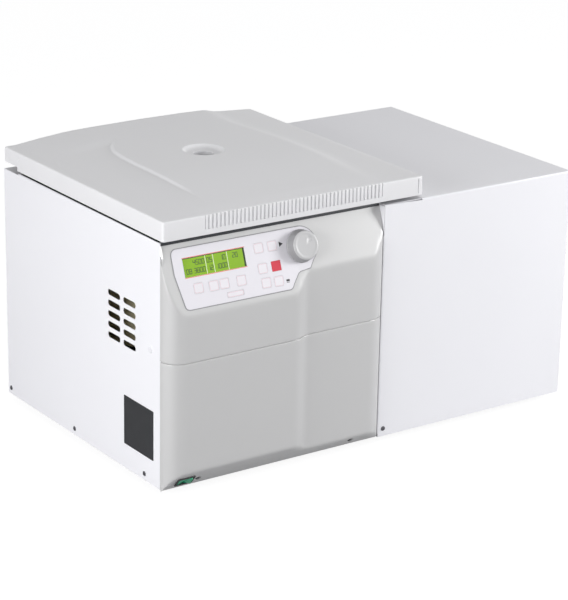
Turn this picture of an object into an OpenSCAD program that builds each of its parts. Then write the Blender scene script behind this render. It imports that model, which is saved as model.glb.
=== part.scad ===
// Refrigerated bench centrifuge with a hinged lid, a front fascia and a cooling cabinet on the right.
// Millimetres. X runs to the right, Y to the back, Z up. The origin is under the middle of the machine.

/* [Housing] */
// Width over the two side panels
unit_w = 715; // [690:1:760]
// Depth of the sheet metal housing
housing_d = 443; // [435:1:480]
// Height of the housing from its lower edge to the deck
housing_h = 353; // [345:1:400]
// Height of the rubber feet
foot_h = 12; // [8:1:16]
// Radius of a rubber foot
foot_r = 16; // [12:1:22]
// Distance from the housing's edges to a foot's centre
foot_inset = 50; // [45:1:70]
// Sheet thickness of panels and covers
sheet_t = 1.5; // [1.2:0.1:2]
// Thickness of the base plate and of the deck
plate_t = 2; // [1.5:0.1:3]
// Gap between sheet parts that meet edge to edge
sheet_gap = 0.5; // [0.2:0.1:1]

/* [Fascia] */
// Width of the plastic fascia
fascia_w = 368; // [362:1:380]
// Wall thickness of the fascia
fascia_t = 3; // [2.6:0.1:3.6]
// How far the left part of the fascia stands in front of the cabinet
fascia_proud = 20; // [18:1:24]
// How far the right part of the fascia stands in front of the cabinet
fascia_step = 10; // [8:1:12]
// Where the left part ends, from the left side
step_x = 208; // [205:1:212]
// Width of the two bevels that step the fascia back
bevel_w = 21; // [16:1:24]
// Radius of the left vertical corner
corner_r = 28; // [26:1:32]
// Height of the seam between the two fascia halves, above the housing's lower edge
seam_h = 188.5; // [180:0.5:195]
// Seam gap
seam_gap = 1; // [0.6:0.1:1.4]
// Height of the leaning part of the fascia, up to the deck
lean_drop = 97; // [93:1:101]
// Angle by which the control face leans back
lean_deg = 20; // [18:1:22]
// Angle of the undercut at the foot of the fascia, from the horizontal
undercut_deg = 50; // [46:1:54]
// Distance of the undercut's lower edge behind the cabinet front
undercut_back = 3.3; // [2:0.1:5]
// Gap from the fascia's frame to the inner bulkhead's front face
fascia_back = 20; // [19:1:24]

/* [Control face] */
// Thickness of the membrane overlay
overlay_t = 0.8; // [0.6:0.1:1]
// Left edge of the overlay, from the left side
overlay_x = 18; // [16:1:20]
// Height of the overlay along the leaning face
overlay_h = 83; // [82:1:86]
// Lower edge of the overlay along the leaning face
overlay_low = 8.5; // [7:0.5:10]
// Display window width
lcd_w = 99.4; // [96:0.2:101]
// Display window height
lcd_h = 26; // [24:0.5:28]
// Display window left edge, from the left side
lcd_x = 33.3; // [32:0.1:36]
// Display window lower edge along the leaning face
lcd_low = 51.5; // [50:0.5:53]
// Width of a square key
key_w = 15; // [13:0.1:15.4]
// Height of a square key
key_h = 14; // [12:0.5:15]
// Width of the flat key below the display
bar_key_w = 27; // [24:1:28]
// Height of the flat key below the display
bar_key_h = 7.5; // [7:0.5:8]
// Travel of a key
key_travel = 0.7; // [0.5:0.1:0.8]
// Radius of the knob's skirt
knob_r = 23.5; // [21:0.5:24]
// Radius of the knob's face
knob_face_r = 19.8; // [17:0.1:20]
// Height of the knob
knob_h = 14.5; // [12:0.5:18]
// Knob centre, from the left side
knob_x = 224; // [222:0.5:226]
// Knob centre along the leaning face
knob_up = 64.3; // [62:0.1:66]

/* [Lid] */
// Width of the lid, which covers the chamber side
lid_w = 434.6; // [430:0.2:440]
// Depth of the lid
lid_d = 441.7; // [434:0.1:442]
// Height of the lid's skirt
lid_skirt_h = 27.7; // [26:0.1:30]
// Shadow gap between deck and lid
lid_gap = 5.9; // [5.5:0.1:7]
// Wall thickness of the lid
lid_t = 3; // [2.5:0.1:3.5]
// Height of the raised middle of the lid
crown_h = 11; // [8:0.5:14]
// Number of grooves in the front grip
grip_count = 47; // [40:1:50]
// Distance between two grip grooves
grip_pitch = 6.45; // [6:0.05:7]
// First grip groove, from the left side
grip_x = 66; // [60:1:70]
// Radius of the round port recess
port_r = 31; // [28:1:34]
// Radius of the port's bore
port_bore_r = 14.5; // [12:0.5:16]
// Distance from the lid's back edge to the hinge axis
hinge_back = 17; // [16:0.5:18]
// Height of the hinge axis above the deck
hinge_h = 18; // [17.5:0.5:19]
// Radius of the hinge pins
pin_r = 4; // [3:0.5:5]

/* [Chamber] */
// Chamber centre, from the left side
chamber_x = 222; // [218:1:226]
// Chamber centre, behind the cabinet front
chamber_y = 246; // [244:1:248]
// Inner radius of the steel bowl
bowl_r = 160; // [156:1:162]
// Depth of the bowl below the deck
bowl_depth = 185; // [180:1:190]
// Radius of the bowl's lower corner
bowl_corner_r = 30; // [20:1:40]
// Outer radius of the insulation jacket
jacket_r = 184; // [182:1:186]
// Radius of the cooling tube round the bowl
coil_r = 4.5; // [3.5:0.1:5]
// Number of turns of the cooling tube
coil_turns = 8; // [5:1:9]
// Distance between the turns
coil_pitch = 15; // [13:1:16]
// Largest radius of the rotor
rotor_r = 140; // [134:1:146]
// Height of the rotor
rotor_h = 107; // [106:1:109]
// Depth of the rotor's rim below the deck
rotor_drop = 41; // [40:1:44]
// Number of tube places
tube_count = 8; // [6:1:8]
// Radius of a tube place
tube_r = 14.5; // [12:0.5:15]
// Depth of a tube place
tube_depth = 86; // [70:1:87]
// Lean of a tube place from the vertical
tube_deg = 28; // [26:1:30]
// Radius of the drive shaft
shaft_r = 8; // [6:0.5:9]
// Radius of the drive motor
motor_r = 60; // [50:1:66]

/* [Cooling] */
// Radius of the compressor shell
compressor_r = 72; // [60:1:76]
// Height of the compressor shell
compressor_h = 165; // [150:1:180]
// Gap between the condenser block and the walls beside it
condenser_gap = 35.2; // [28:0.1:45]
// Height of the condenser block
condenser_h = 190; // [185:1:200]
// Depth of the condenser block
condenser_d = 26; // [20:1:32]
// Radius of the cooling fan
fan_r = 82; // [70:1:84]
// Radius of a refrigerant pipe
pipe_r = 4; // [3:0.5:5]

/* [Fits] */
// Radial clearance of a turning pin or shaft
fit_run = 0.05; // [0.03:0.01:0.08]
// Clearance between a loose piece and its seat
fit_seat = 0.3; // [0.2:0.05:0.4]

/* [Hidden] */
$fn = 64;
tiny = 0.01;
big = 1000;

// Flange of the mains inlet, which is what stands furthest back
inlet_flange_t = 3;

left_x = -unit_w / 2;
right_x = unit_w / 2;
front_y = fascia_proud - (fascia_proud + housing_d + inlet_flange_t) / 2;
rear_y = front_y + housing_d;
sill_z = foot_h;
deck_z = sill_z + housing_h;
floor_z = sill_z + plate_t;
under_deck_z = deck_z - plate_t;

// Height where the fascia starts to lean back
lean_h = housing_h - lean_drop;

// The side panel's front edge, where the round corner of the fascia ends
panel_front_y = front_y - fascia_proud + corner_r;
bulkhead_y = front_y + fascia_back;
partition_x = left_x + lid_w;
fascia_right_x = left_x + fascia_w;
bevel_deg = atan(fascia_step / bevel_w);
center_x = left_x + chamber_x;
center_y = front_y + chamber_y;
// Where the leaning face reaches the deck
lean_top_y = front_y - fascia_proud + (housing_h - plate_t - lean_h) * tan(lean_deg);

// Lid levels
lid_low_z = deck_z + lid_gap;
lid_high_z = lid_low_z + lid_skirt_h;
lid_back_y = front_y + lid_d;
hinge_y = lid_back_y - hinge_back;
hinge_z = deck_z + hinge_h;
liner_z = lid_low_z + 2;
liner_t = 2;
// The skirt's lower edge is higher near the hinge
hinge_notch_d = 40;
hinge_notch_h = 6;
liner_back_y = lid_back_y - hinge_notch_d - 4;

// Hinge places, from the left side, each the left face of its bracket
hinge_gap = 24;
ear_t = 6;
hinge_places = [left_x + 44, left_x + lid_w - 44 - 2 * ear_t - hinge_gap];
hub_r = 8;
spring_l = 16;

// Latch: a cross shaft with two hooks behind the bulkhead
latch_y = bulkhead_y + sheet_t + 9.5;
latch_z = deck_z - 35;
latch_r = 4;
latch_inset = 34;
latch_reach = fascia_right_x - latch_inset - center_x;
latch_places = [center_x - latch_reach, center_x + latch_reach];
hook_w = 6;
striker_w = 18;
striker_t = 3;
striker_y = latch_y + 15;
lug_t = 6;

// Rotor levels
rotor_top_z = deck_z - rotor_drop;
rotor_low_z = rotor_top_z - rotor_h;
rotor_rim_r = 105;
rotor_hub_r = 40;
rotor_hub_z = rotor_top_z - (rotor_rim_r - rotor_hub_r) * tan(tube_deg);
tube_mouth_r = 74;
tube_mouth_z = rotor_top_z - (rotor_rim_r - tube_mouth_r) * tan(tube_deg);
bowl_floor_z = deck_z - bowl_depth;
nut_r = 17;
nut_h = 24;
nut_bore_h = 14;

// Drive motor levels
isolator_r = 12;
isolator_h = 20;
mount_z = floor_z + isolator_h;
bracket_w = 190;
bracket_t = 4;
bracket_leg = 76;
bracket_z = sill_z + 98;
motor_low_z = sill_z + 40;
motor_high_z = bowl_floor_z - 22;
motor_neck_r = 24;
bearing_r = 16;
bearing_w = 10;

// Cooling cabinet places
cab_mid_x = (partition_x + right_x) / 2;
condenser_w = right_x - partition_x - 2 * condenser_gap;
condenser_side_t = 2;
compressor_y = front_y + 140;
compressor_foot = 78;
condenser_y = rear_y - sheet_t - 12 - condenser_d;
condenser_z = sill_z + 44;
fan_z = condenser_z + condenser_h / 2;
shroud_d = 30;
shroud_y = condenser_y - shroud_d;
fan_hub_r = 24;
fan_axle_r = 3;

// Control face places, as [name, distance from the left side, height along the face]
keys = [
    ["precool_key", 155.5, 72.5], ["start_key", 177.8, 72], ["brake_key", 156.7, 44],
    ["stop_key", 179, 44], ["lid_key", 158.4, 23.7], ["pulse_key", 179.1, 22.7],
    ["speed_key", 51, 35], ["time_key", 75.2, 34.2], ["rotor_key", 92, 34.2],
    ["temperature_key", 119.7, 33.7]
];
bar_key_x = 106.9;
bar_key_up = 17.8;
key_r = 2;
key_t = 1.45;
key_rise = 0.05;
key_stem_r = 2;
pocket_depth = 1.6;
window_t = 1.2;
window_set = 0.8;
window_lip = 1.2;
board_t = 1.5;
board_depth = 9;
board_x = 20;
board_low = 8;
board_high = 74;
board_posts = [24, 140, 202];
key_switch_h = 0.8;
// A pressed key's stem stops just above its switch
key_stem_l = overlay_t + key_rise - key_t + board_depth - key_switch_h - key_travel - 0.05;
encoder_w = 13;
bushing_r = 4.5;
encoder_shaft_r = 3;
knob_lift = 0.5;

// Power switch in the undercut, measured from the undercut's lower edge
switch_x = 31.3;
switch_up = 16;
switch_w = 29;
switch_h = 17.5;
switch_rim = 1.5;
switch_deep = 20;
rocker_w = 24;
rocker_h = 12.6;
rocker_pin_r = 1.5;

// Vents in the left panel
vent_rows = 5;
vent_pitch = 15.6;
vent_l = 33;
vent_w = 8.6;
vent_top = 249;
vent_ys = [128.5, 87.3];

// Panel screws
screw_r = 3.6;
screw_h = 1.2;
screw_shank_r = 1.5;
side_screw_ys = [front_y + 48, front_y + 242, rear_y - 9];
front_screw_x = fascia_right_x + 9.3;

// Rear panel: outlet slots behind the condenser, and the mains inlet
slot_l = 80;
slot_w = 6;
slot_pitch = 13;
slot_rows = 12;
inlet_x = left_x + 74;
inlet_z = sill_z + 52;
inlet_w = 30;
inlet_h = 46;
inlet_deep = 32;
inlet_lip = 6;
drawer_w = 22;
drawer_h = 10;

release_y = bulkhead_y + 12;
release_h = 198;

// Turn a solid drawn flat in X and Y so that it stands on the leaning control face
module on_face() {
    translate([left_x, front_y - fascia_proud, sill_z + lean_h]) rotate([90 - lean_deg, 0, 0]) children();
}

// The same for the undercut, from its lower edge
module on_undercut() {
    translate([left_x, front_y + undercut_back, sill_z]) rotate([180 - undercut_deg, 0, 0]) children();
}

// A straight rod between two points
module rod(a, b, r) {
    d = b - a;
    l = norm(d);
    translate(a) rotate([0, acos(d[2] / l), atan2(d[1], d[0])]) cylinder(h = l, r = r);
}

// A bent pipe through a list of points
module pipe(points, r) {
    for (i = [0 : len(points) - 2]) rod(points[i], points[i + 1], r);
    for (i = [1 : len(points) - 2]) translate(points[i]) sphere(r);
}

// A disc or rod along X
module x_rod(x, y, z, l, r) {
    translate([x, y, z]) rotate([0, 90, 0]) cylinder(h = l, r = r);
}

// A disc or rod along Y
module y_rod(x, y, z, l, r) {
    translate([x, y, z]) rotate([-90, 0, 0]) cylinder(h = l, r = r);
}

// A ring round Z
module ring(r_in, r_out, h) {
    rotate_extrude($fn = 96) translate([r_in, 0]) square([r_out - r_in, h]);
}

function arc(cx, cy, r, a0, a1, n) = [for (i = [0 : n]) [
    cx + r * cos(a0 + (a1 - a0) * i / n), cy + r * sin(a0 + (a1 - a0) * i / n)]];

function round_rect(w, h, r) = concat(
    arc(w / 2 - r, h / 2 - r, r, 0, 90, 5), arc(r - w / 2, h / 2 - r, r, 90, 180, 5),
    arc(r - w / 2, r - h / 2, r, 180, 270, 5), arc(w / 2 - r, r - h / 2, r, 270, 360, 5));

// Rounded slot, drawn flat
module slot(l, w) {
    square([l - w, w], center = true);
    for (side = [-1, 1]) translate([side * (l - w) / 2, 0]) circle(w / 2, $fn = 24);
}

// Plan of the fascia, drawn inwards by inset. X is from the left side, Y from the cabinet front.
module fascia_plan(inset, back) {
    mid = corner_r - fascia_proud;
    shift = inset * tan(bevel_deg / 2);
    side = sheet_t + sheet_gap + inset;
    end_x = fascia_w - inset;
    end_y = -fascia_step + inset + (end_x - fascia_w + bevel_w + shift) * tan(bevel_deg);
    intersection() {
        translate([corner_r, mid]) circle(corner_r - inset, $fn = 96);
        translate([0, -big]) square([big, big + mid - sheet_gap]);
    }
    polygon([
        [corner_r, -fascia_proud + inset], [step_x - shift, -fascia_proud + inset],
        [step_x + bevel_w - shift, -fascia_step + inset],
        [fascia_w - bevel_w - shift, -fascia_step + inset],
        [end_x, end_y], [end_x, back], [side, back], [side, mid - sheet_gap], [corner_r, mid - sheet_gap]
    ]);
}

// The fascia's block between two heights, cut by the leaning face and by the undercut
module fascia_block(inset, low, high, back) {
    difference() {
        translate([left_x, front_y, sill_z + low]) linear_extrude(high - low) fascia_plan(inset, back);
        on_face() translate([-big / 2, -big / 2, -inset]) cube([big, big, big]);
        on_undercut() translate([-big / 2, -big / 2, -inset]) cube([big, big, big]);
    }
}

module key_cap(x, up, w, h) {
    on_face() translate([x, up, overlay_t + key_rise - key_t]) {
        linear_extrude(key_t) polygon(round_rect(w, h, min(key_r, h / 3)));
        translate([0, 0, -key_stem_l]) cylinder(h = key_stem_l + tiny, r = key_stem_r);
    }
}

// Room for a key in the fascia: a pocket and a bore for its stem
module key_room(x, up, w, h) {
    translate([x, up, -pocket_depth]) linear_extrude(big)
        square([w + 2 * fit_seat, h + 2 * fit_seat], center = true);
    translate([x, up, -fascia_t - 1]) cylinder(h = fascia_t + 2, r = key_stem_r + fit_seat, $fn = 32);
}

// Cut for a key in the overlay
module key_cut(x, up, w, h) {
    translate([x, up]) polygon(round_rect(w + 2 * fit_seat, h + 2 * fit_seat, min(key_r, h / 3)));
}

module all_key_rooms() {
    for (k = keys) key_room(k[1], k[2], key_w, key_h);
    key_room(bar_key_x, bar_key_up, bar_key_w, bar_key_h);
}

module all_key_cuts() {
    for (k = keys) key_cut(k[1], k[2], key_w, key_h);
    key_cut(bar_key_x, bar_key_up, bar_key_w, bar_key_h);
}

// Outline of the overlay along the face: a wide panel with a round end for the knob
function overlay_outline() = let (
        x0 = overlay_x, y0 = overlay_low, y1 = overlay_low + overlay_h,
        kx = knob_x, ky = knob_up, kr = y1 - ky)
    concat(
        [[x0 + 16, y0], [step_x - 18, y0]],
        arc(step_x - 13, y0 + 7, 7, 270, 345, 4),
        [[step_x + 2, y0 + 16], [step_x + 9, y0 + 22], [kx + 10, y0 + 24]],
        arc(kx, ky, kr, -50, 90, 14),
        arc(x0 + 8, y1 - 8, 8, 90, 180, 5),
        [[x0, y1 - 34]],
        arc(x0 + 15, y0 + 7, 7, 200, 270, 4));

// Sheet metal body

module base_plate() {
    cab_x = fascia_right_x + sheet_gap;
    color([0.72, 0.73, 0.74]) difference() {
        union() {
            translate([left_x + sheet_t, bulkhead_y, sill_z])
                cube([unit_w - 2 * sheet_t, rear_y - sheet_t - bulkhead_y, plate_t]);
            translate([cab_x, front_y + sheet_t, sill_z])
                cube([right_x - sheet_t - cab_x, fascia_back, plate_t]);
        }
        for (i = [0 : 6]) translate([center_x - 60 + i * 20, center_y + 120, sill_z - 1])
            linear_extrude(plate_t + 2) rotate(90) slot(50, slot_w);
    }
}

module front_bulkhead() {
    color([0.7, 0.71, 0.72]) difference() {
        union() {
            translate([left_x + sheet_t, bulkhead_y, floor_z])
                cube([fascia_w - sheet_t - sheet_gap, sheet_t, under_deck_z - floor_z]);
            for (x = [latch_places[0] - 20 - lug_t, latch_places[1] + 20])
                translate([x, bulkhead_y, latch_z - 10]) cube([lug_t, latch_y - bulkhead_y + 8, 20]);
        }
        x_rod(left_x, latch_y, latch_z, fascia_w, latch_r + fit_run);
    }
}

module partition_wall() {
    color([0.7, 0.71, 0.72]) translate([partition_x, bulkhead_y, floor_z])
        cube([sheet_t, rear_y - sheet_t - bulkhead_y, under_deck_z - floor_z]);
}

module left_side_panel() {
    color([0.93, 0.93, 0.95]) difference() {
        union() {
            translate([left_x, panel_front_y, sill_z])
                cube([sheet_t, rear_y - panel_front_y, housing_h]);
            translate([left_x + sheet_t - tiny, bulkhead_y + sheet_t + sheet_gap, floor_z + sheet_gap])
                cube([9, sheet_t, under_deck_z - floor_z - 2 * sheet_gap]);
        }
        for (y = vent_ys, i = [0 : vent_rows - 1])
            translate([left_x - 1, front_y + y, sill_z + vent_top - i * vent_pitch])
                rotate([90, 0, 90]) linear_extrude(sheet_t + 2) slot(vent_l, vent_w);
        x_rod(left_x - 1, release_y, sill_z + release_h, sheet_t + 2, 3.5 + fit_seat);
        for (y = side_screw_ys) x_rod(left_x - 1, y, sill_z + 10, sheet_t + 2, screw_shank_r + fit_run);
    }
}

module rear_panel() {
    color([0.9, 0.9, 0.92]) difference() {
        translate([left_x + sheet_t, rear_y - sheet_t, sill_z])
            cube([unit_w - 2 * sheet_t, sheet_t, housing_h - plate_t]);
        for (side = [-1, 1], i = [0 : slot_rows - 1])
            translate([cab_mid_x + side * (slot_l / 2 + 8), rear_y + 1, fan_z])
                translate([0, 0, (i - (slot_rows - 1) / 2) * slot_pitch])
                rotate([90, 0, 0]) linear_extrude(sheet_t + 2) slot(slot_l, slot_w);
        translate([inlet_x - inlet_w / 2 - fit_seat, rear_y - sheet_t - 1, inlet_z - inlet_h / 2 - fit_seat])
            cube([inlet_w + 2 * fit_seat, sheet_t + 2, inlet_h + 2 * fit_seat]);
    }
}

// Front, right side and top of the cooling cabinet, folded from one sheet
module cabinet_cover() {
    low_x = fascia_right_x + sheet_gap;
    lip_z = floor_z + sheet_gap;
    color([0.92, 0.92, 0.95]) difference() {
        union() {
            translate([low_x, front_y, sill_z]) cube([right_x - low_x, sheet_t, housing_h]);
            translate([low_x, front_y, lip_z])
                cube([sheet_t, fascia_back - sheet_gap, under_deck_z - sheet_gap - lip_z]);
            translate([right_x - sheet_t, front_y, sill_z]) cube([sheet_t, housing_d, housing_h]);
            translate([partition_x + sheet_gap, front_y, deck_z - sheet_t])
                cube([right_x - partition_x - sheet_gap, housing_d, sheet_t]);
        }
        for (y = side_screw_ys)
            x_rod(right_x - sheet_t - 1, y, sill_z + 10, sheet_t + 2, screw_shank_r + fit_run);
        y_rod(front_screw_x, front_y - 1, sill_z + 12, sheet_t + 2, screw_shank_r + fit_run);
    }
}

module top_deck() {
    tab_y = front_y + sheet_t + sheet_gap;
    color([0.8, 0.8, 0.82]) difference() {
        union() {
            translate([left_x + sheet_t, lean_top_y, under_deck_z])
                cube([lid_w - sheet_t, rear_y - lean_top_y, plate_t]);
            translate([fascia_right_x + sheet_gap, tab_y, under_deck_z])
                cube([partition_x - fascia_right_x - sheet_gap, lean_top_y - tab_y + 1, plate_t]);
        }
        translate([center_x, center_y, under_deck_z - 1])
            cylinder(h = plate_t + 2, r = bowl_r + sheet_t + fit_seat, $fn = 96);
        for (x = latch_places) translate([x - striker_w / 2 - 1.5, striker_y - 8, under_deck_z - 1])
            cube([striker_w + 3, striker_t + 11, plate_t + 2]);
    }
}

// Plastic fascia

module upper_fascia() {
    low = seam_h + seam_gap / 2;
    high = housing_h - plate_t;
    color([0.78, 0.78, 0.8]) difference() {
        union() {
            difference() {
                fascia_block(0, low, high, fascia_back);
                fascia_block(fascia_t, low - 1, high + 1, fascia_back + 1);
            }
            for (x = board_posts, up = [12, 70]) on_face() translate([x, up, -board_depth])
                cylinder(h = board_depth - fascia_t + tiny, r = 2.5, $fn = 32);
        }
        on_face() {
            translate([lcd_x, lcd_low, -fascia_t - 1]) cube([lcd_w, lcd_h, fascia_t + 2]);
            translate([lcd_x - window_lip, lcd_low - window_lip, -fascia_t - 1])
                cube([lcd_w + 2 * window_lip, lcd_h + 2 * window_lip, fascia_t + 1 - window_set]);
            all_key_rooms();
            translate([knob_x, knob_up, -fascia_t - 1]) cylinder(h = fascia_t + 2, r = bushing_r + fit_seat);
        }
    }
}

module lower_fascia() {
    high = seam_h - seam_gap / 2;
    hole_w = switch_w - 2 * switch_rim;
    hole_h = switch_h - 2 * switch_rim;
    color([0.76, 0.76, 0.78]) difference() {
        fascia_block(0, 0, high, fascia_back);
        fascia_block(fascia_t, fascia_t, high + 1, fascia_back + 1);
        on_undercut() translate([switch_x - hole_w / 2, switch_up - hole_h / 2, -fascia_t - 2])
            cube([hole_w, hole_h, fascia_t + 4]);
    }
}

module control_overlay() {
    color([0.97, 0.96, 0.98]) on_face() difference() {
        linear_extrude(overlay_t) polygon(overlay_outline());
        translate([0, 0, -1]) linear_extrude(overlay_t + 2) {
            translate([lcd_x, lcd_low]) square([lcd_w, lcd_h]);
            all_key_cuts();
        }
        translate([knob_x, knob_up, -1]) cylinder(h = overlay_t + 2, r = bushing_r + fit_seat);
    }
}

module display_window() {
    color([0.55, 0.8, 0.15]) on_face()
        translate([lcd_x - window_lip + fit_seat, lcd_low - window_lip + fit_seat, -window_set - window_t])
            cube([lcd_w + 2 * (window_lip - fit_seat), lcd_h + 2 * (window_lip - fit_seat), window_t]);
}

module key(name) {
    k = keys[search([name], keys)[0]];
    key_cap(k[1], k[2], key_w, key_h);
}

module precool_key() color([0.96, 0.94, 0.96]) key("precool_key");
module start_key() color([0.96, 0.94, 0.96]) key("start_key");
module brake_key() color([0.96, 0.94, 0.96]) key("brake_key");
module stop_key() color([0.85, 0.12, 0.25]) key("stop_key");
module lid_key() color([0.96, 0.94, 0.96]) key("lid_key");
module pulse_key() color([0.96, 0.94, 0.96]) key("pulse_key");
module speed_key() color([0.96, 0.94, 0.96]) key("speed_key");
module time_key() color([0.96, 0.94, 0.96]) key("time_key");
module rotor_key() color([0.96, 0.94, 0.96]) key("rotor_key");
module temperature_key() color([0.96, 0.94, 0.96]) key("temperature_key");
module program_key() color([0.96, 0.94, 0.96]) key_cap(bar_key_x, bar_key_up, bar_key_w, bar_key_h);

// Turning knob with its own axle, which runs in the encoder's bushing
module control_knob() {
    base = overlay_t + knob_lift;
    color([0.72, 0.72, 0.73]) on_face() translate([knob_x, knob_up, 0]) difference() {
        union() {
            translate([0, 0, base]) rotate_extrude($fn = 96) polygon(concat(
                [[0, 0], [knob_r, 0], [knob_r, 1.5], [knob_face_r + 1.6, knob_h - 3]],
                arc(knob_face_r - 1.4, knob_h - 3, 3, 0, 90, 5), [[0, knob_h]]));
            translate([0, 0, -6]) cylinder(h = base + 6 + tiny, r = encoder_shaft_r);
        }
        translate([knob_face_r * 0.35, knob_face_r * 0.45, base + knob_h + 9]) sphere(11);
        translate([0, 0, base - tiny]) ring(bushing_r + 2, knob_r - 2.5, knob_h - 5);
    }
}

module knob_encoder() {
    color([0.35, 0.36, 0.38]) on_face() translate([knob_x, knob_up, 0]) difference() {
        union() {
            translate([-encoder_w / 2, -encoder_w / 2, -board_depth])
                cube([encoder_w, encoder_w, board_depth - fascia_t - fit_seat]);
            translate([0, 0, -board_depth]) cylinder(h = board_depth + overlay_t, r = bushing_r);
        }
        translate([0, 0, -board_depth - 1]) cylinder(h = board_depth + 4, r = encoder_shaft_r + fit_run);
    }
}

// Rim and body of the power switch, with pin holes for the rocker
module switch_housing() {
    body_w = switch_w - 2 * switch_rim - 2 * fit_seat;
    body_h = switch_h - 2 * switch_rim - 2 * fit_seat;
    color([0.12, 0.12, 0.13]) on_undercut() translate([switch_x, switch_up, 0]) difference() {
        union() {
            translate([-switch_w / 2, -switch_h / 2, 0]) cube([switch_w, switch_h, 1.6]);
            translate([-body_w / 2, -body_h / 2, -switch_deep]) cube([body_w, body_h, switch_deep + tiny]);
        }
        translate([-rocker_w / 2 - 0.2, -rocker_h / 2 - 0.05, -9]) cube([rocker_w + 0.4, rocker_h + 0.1, 20]);
        translate([0, switch_h / 2, -4]) rotate([90, 0, 0])
            cylinder(h = switch_h, r = rocker_pin_r + fit_run, $fn = 24);
    }
}

module power_rocker() {
    color([0.1, 0.55, 0.35]) on_undercut() translate([switch_x, switch_up, -4]) {
        translate([0, rocker_h / 2 - 0.2, 0]) rotate([90, 0, 0]) linear_extrude(rocker_h - 0.4) polygon([
            [-rocker_w / 2 + 0.8, 1], [-rocker_w / 2 + 1, 5.2], [0, 3.6],
            [rocker_w / 2 - 2.4, 7.6], [rocker_w / 2 - 1.2, 3], [2.5, -2.4], [-2.5, -2.4]]);
        translate([0, rocker_h / 2 + 0.35, 0]) rotate([90, 0, 0])
            cylinder(h = rocker_h + 0.7, r = rocker_pin_r, $fn = 24);
    }
}

module rating_plate() {
    color([0.08, 0.08, 0.09]) translate([left_x - 0.4, front_y + 24, sill_z + 37]) cube([0.4, 78, 73]);
}

// Pan head screws of the two side panels and of the cabinet's front
module panel_screws() {
    shank = sheet_t + 2.5;
    color([0.45, 0.45, 0.47]) {
        for (y = side_screw_ys) {
            x_rod(left_x - screw_h, y, sill_z + 10, screw_h, screw_r);
            x_rod(left_x - screw_h, y, sill_z + 10, screw_h + shank, screw_shank_r);
            x_rod(right_x, y, sill_z + 10, screw_h, screw_r);
            x_rod(right_x - shank, y, sill_z + 10, screw_h + shank, screw_shank_r);
        }
        y_rod(front_screw_x, front_y - screw_h, sill_z + 12, screw_h, screw_r);
        y_rod(front_screw_x, front_y - screw_h, sill_z + 12, screw_h + shank, screw_shank_r);
    }
}

module rubber_feet() {
    color([0.12, 0.12, 0.12]) for (x = [left_x + foot_inset, right_x - foot_inset],
            y = [front_y + foot_inset, rear_y - foot_inset])
        translate([x, y, 0]) cylinder(h = foot_h, r1 = foot_r - 2, r2 = foot_r);
}

// Chamber and rotor

module chamber_bowl() {
    r = bowl_r;
    o = bowl_r + sheet_t;
    c = bowl_corner_r;
    z = bowl_floor_z;
    hole = motor_neck_r + 2;
    color([0.8, 0.81, 0.83]) translate([center_x, center_y, 0]) rotate_extrude($fn = 96) polygon(concat(
        [[hole, z], [r - c, z]], arc(r - c, z + c, c, -90, 0, 8),
        [[r, deck_z + sheet_t], [r + 12, deck_z + sheet_t], [r + 12, deck_z], [o, deck_z]],
        arc(o - c, z + c - sheet_t, c, 0, -90, 8), [[hole, z - sheet_t]]));
}

module chamber_gasket() {
    low = deck_z + sheet_t;
    color([0.1, 0.1, 0.1]) translate([center_x, center_y, low])
        ring(bowl_r, bowl_r + 10, liner_z - fit_seat - low);
}

module insulation_jacket() {
    coil_room = 2 * coil_r + 2 * fit_seat;
    low = bowl_floor_z - sheet_t - 18;
    color([0.9, 0.85, 0.6]) translate([center_x, center_y, 0]) {
        difference() {
            translate([0, 0, low]) cylinder(h = under_deck_z - fit_seat - low, r = jacket_r, $fn = 96);
            translate([0, 0, bowl_floor_z - sheet_t - fit_seat])
                cylinder(h = bowl_depth + 10, r = bowl_r + sheet_t + coil_room, $fn = 96);
            translate([0, 0, low - 1]) cylinder(h = 40, r = motor_neck_r + 6);
        }
    }
}

// Cooling tube round the bowl, which is hidden in the insulation
module evaporator_coil() {
    mid_r = bowl_r + sheet_t + fit_seat + coil_r;
    low = bowl_floor_z + bowl_corner_r + 8;
    high = low + (coil_turns - 1) * coil_pitch;
    color([0.75, 0.45, 0.25]) translate([center_x, center_y, 0]) {
        for (i = [0 : coil_turns - 1]) translate([0, 0, low + i * coil_pitch])
            rotate_extrude($fn = 96) translate([mid_r, 0]) circle(coil_r, $fn = 24);
        translate([mid_r, 0, low]) cylinder(h = high - low, r = coil_r * 0.8, $fn = 24);
    }
}

module motor_bracket() {
    color([0.6, 0.61, 0.63]) difference() {
        union() {
            translate([center_x - bracket_w / 2, center_y - bracket_w / 2, bracket_z])
                cube([bracket_w, bracket_w, bracket_t]);
            for (dx = [-1, 1], dy = [-1, 1])
                translate([center_x + dx * bracket_leg, center_y + dy * bracket_leg, mount_z])
                    cylinder(h = bracket_z - mount_z + 1, r = 8);
        }
        translate([center_x, center_y, bracket_z - 1])
            cylinder(h = bracket_t + 2, r = motor_r + fit_seat, $fn = 96);
    }
}

// Rubber isolators under the motor bracket and under the compressor
module rubber_isolators() {
    color([0.15, 0.15, 0.15]) {
        for (dx = [-1, 1], dy = [-1, 1]) {
            translate([center_x + dx * bracket_leg, center_y + dy * bracket_leg, floor_z])
                cylinder(h = isolator_h, r = isolator_r);
            translate([cab_mid_x + dx * compressor_foot, compressor_y + dy * compressor_foot, floor_z])
                cylinder(h = isolator_h, r = isolator_r);
        }
    }
}

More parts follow.
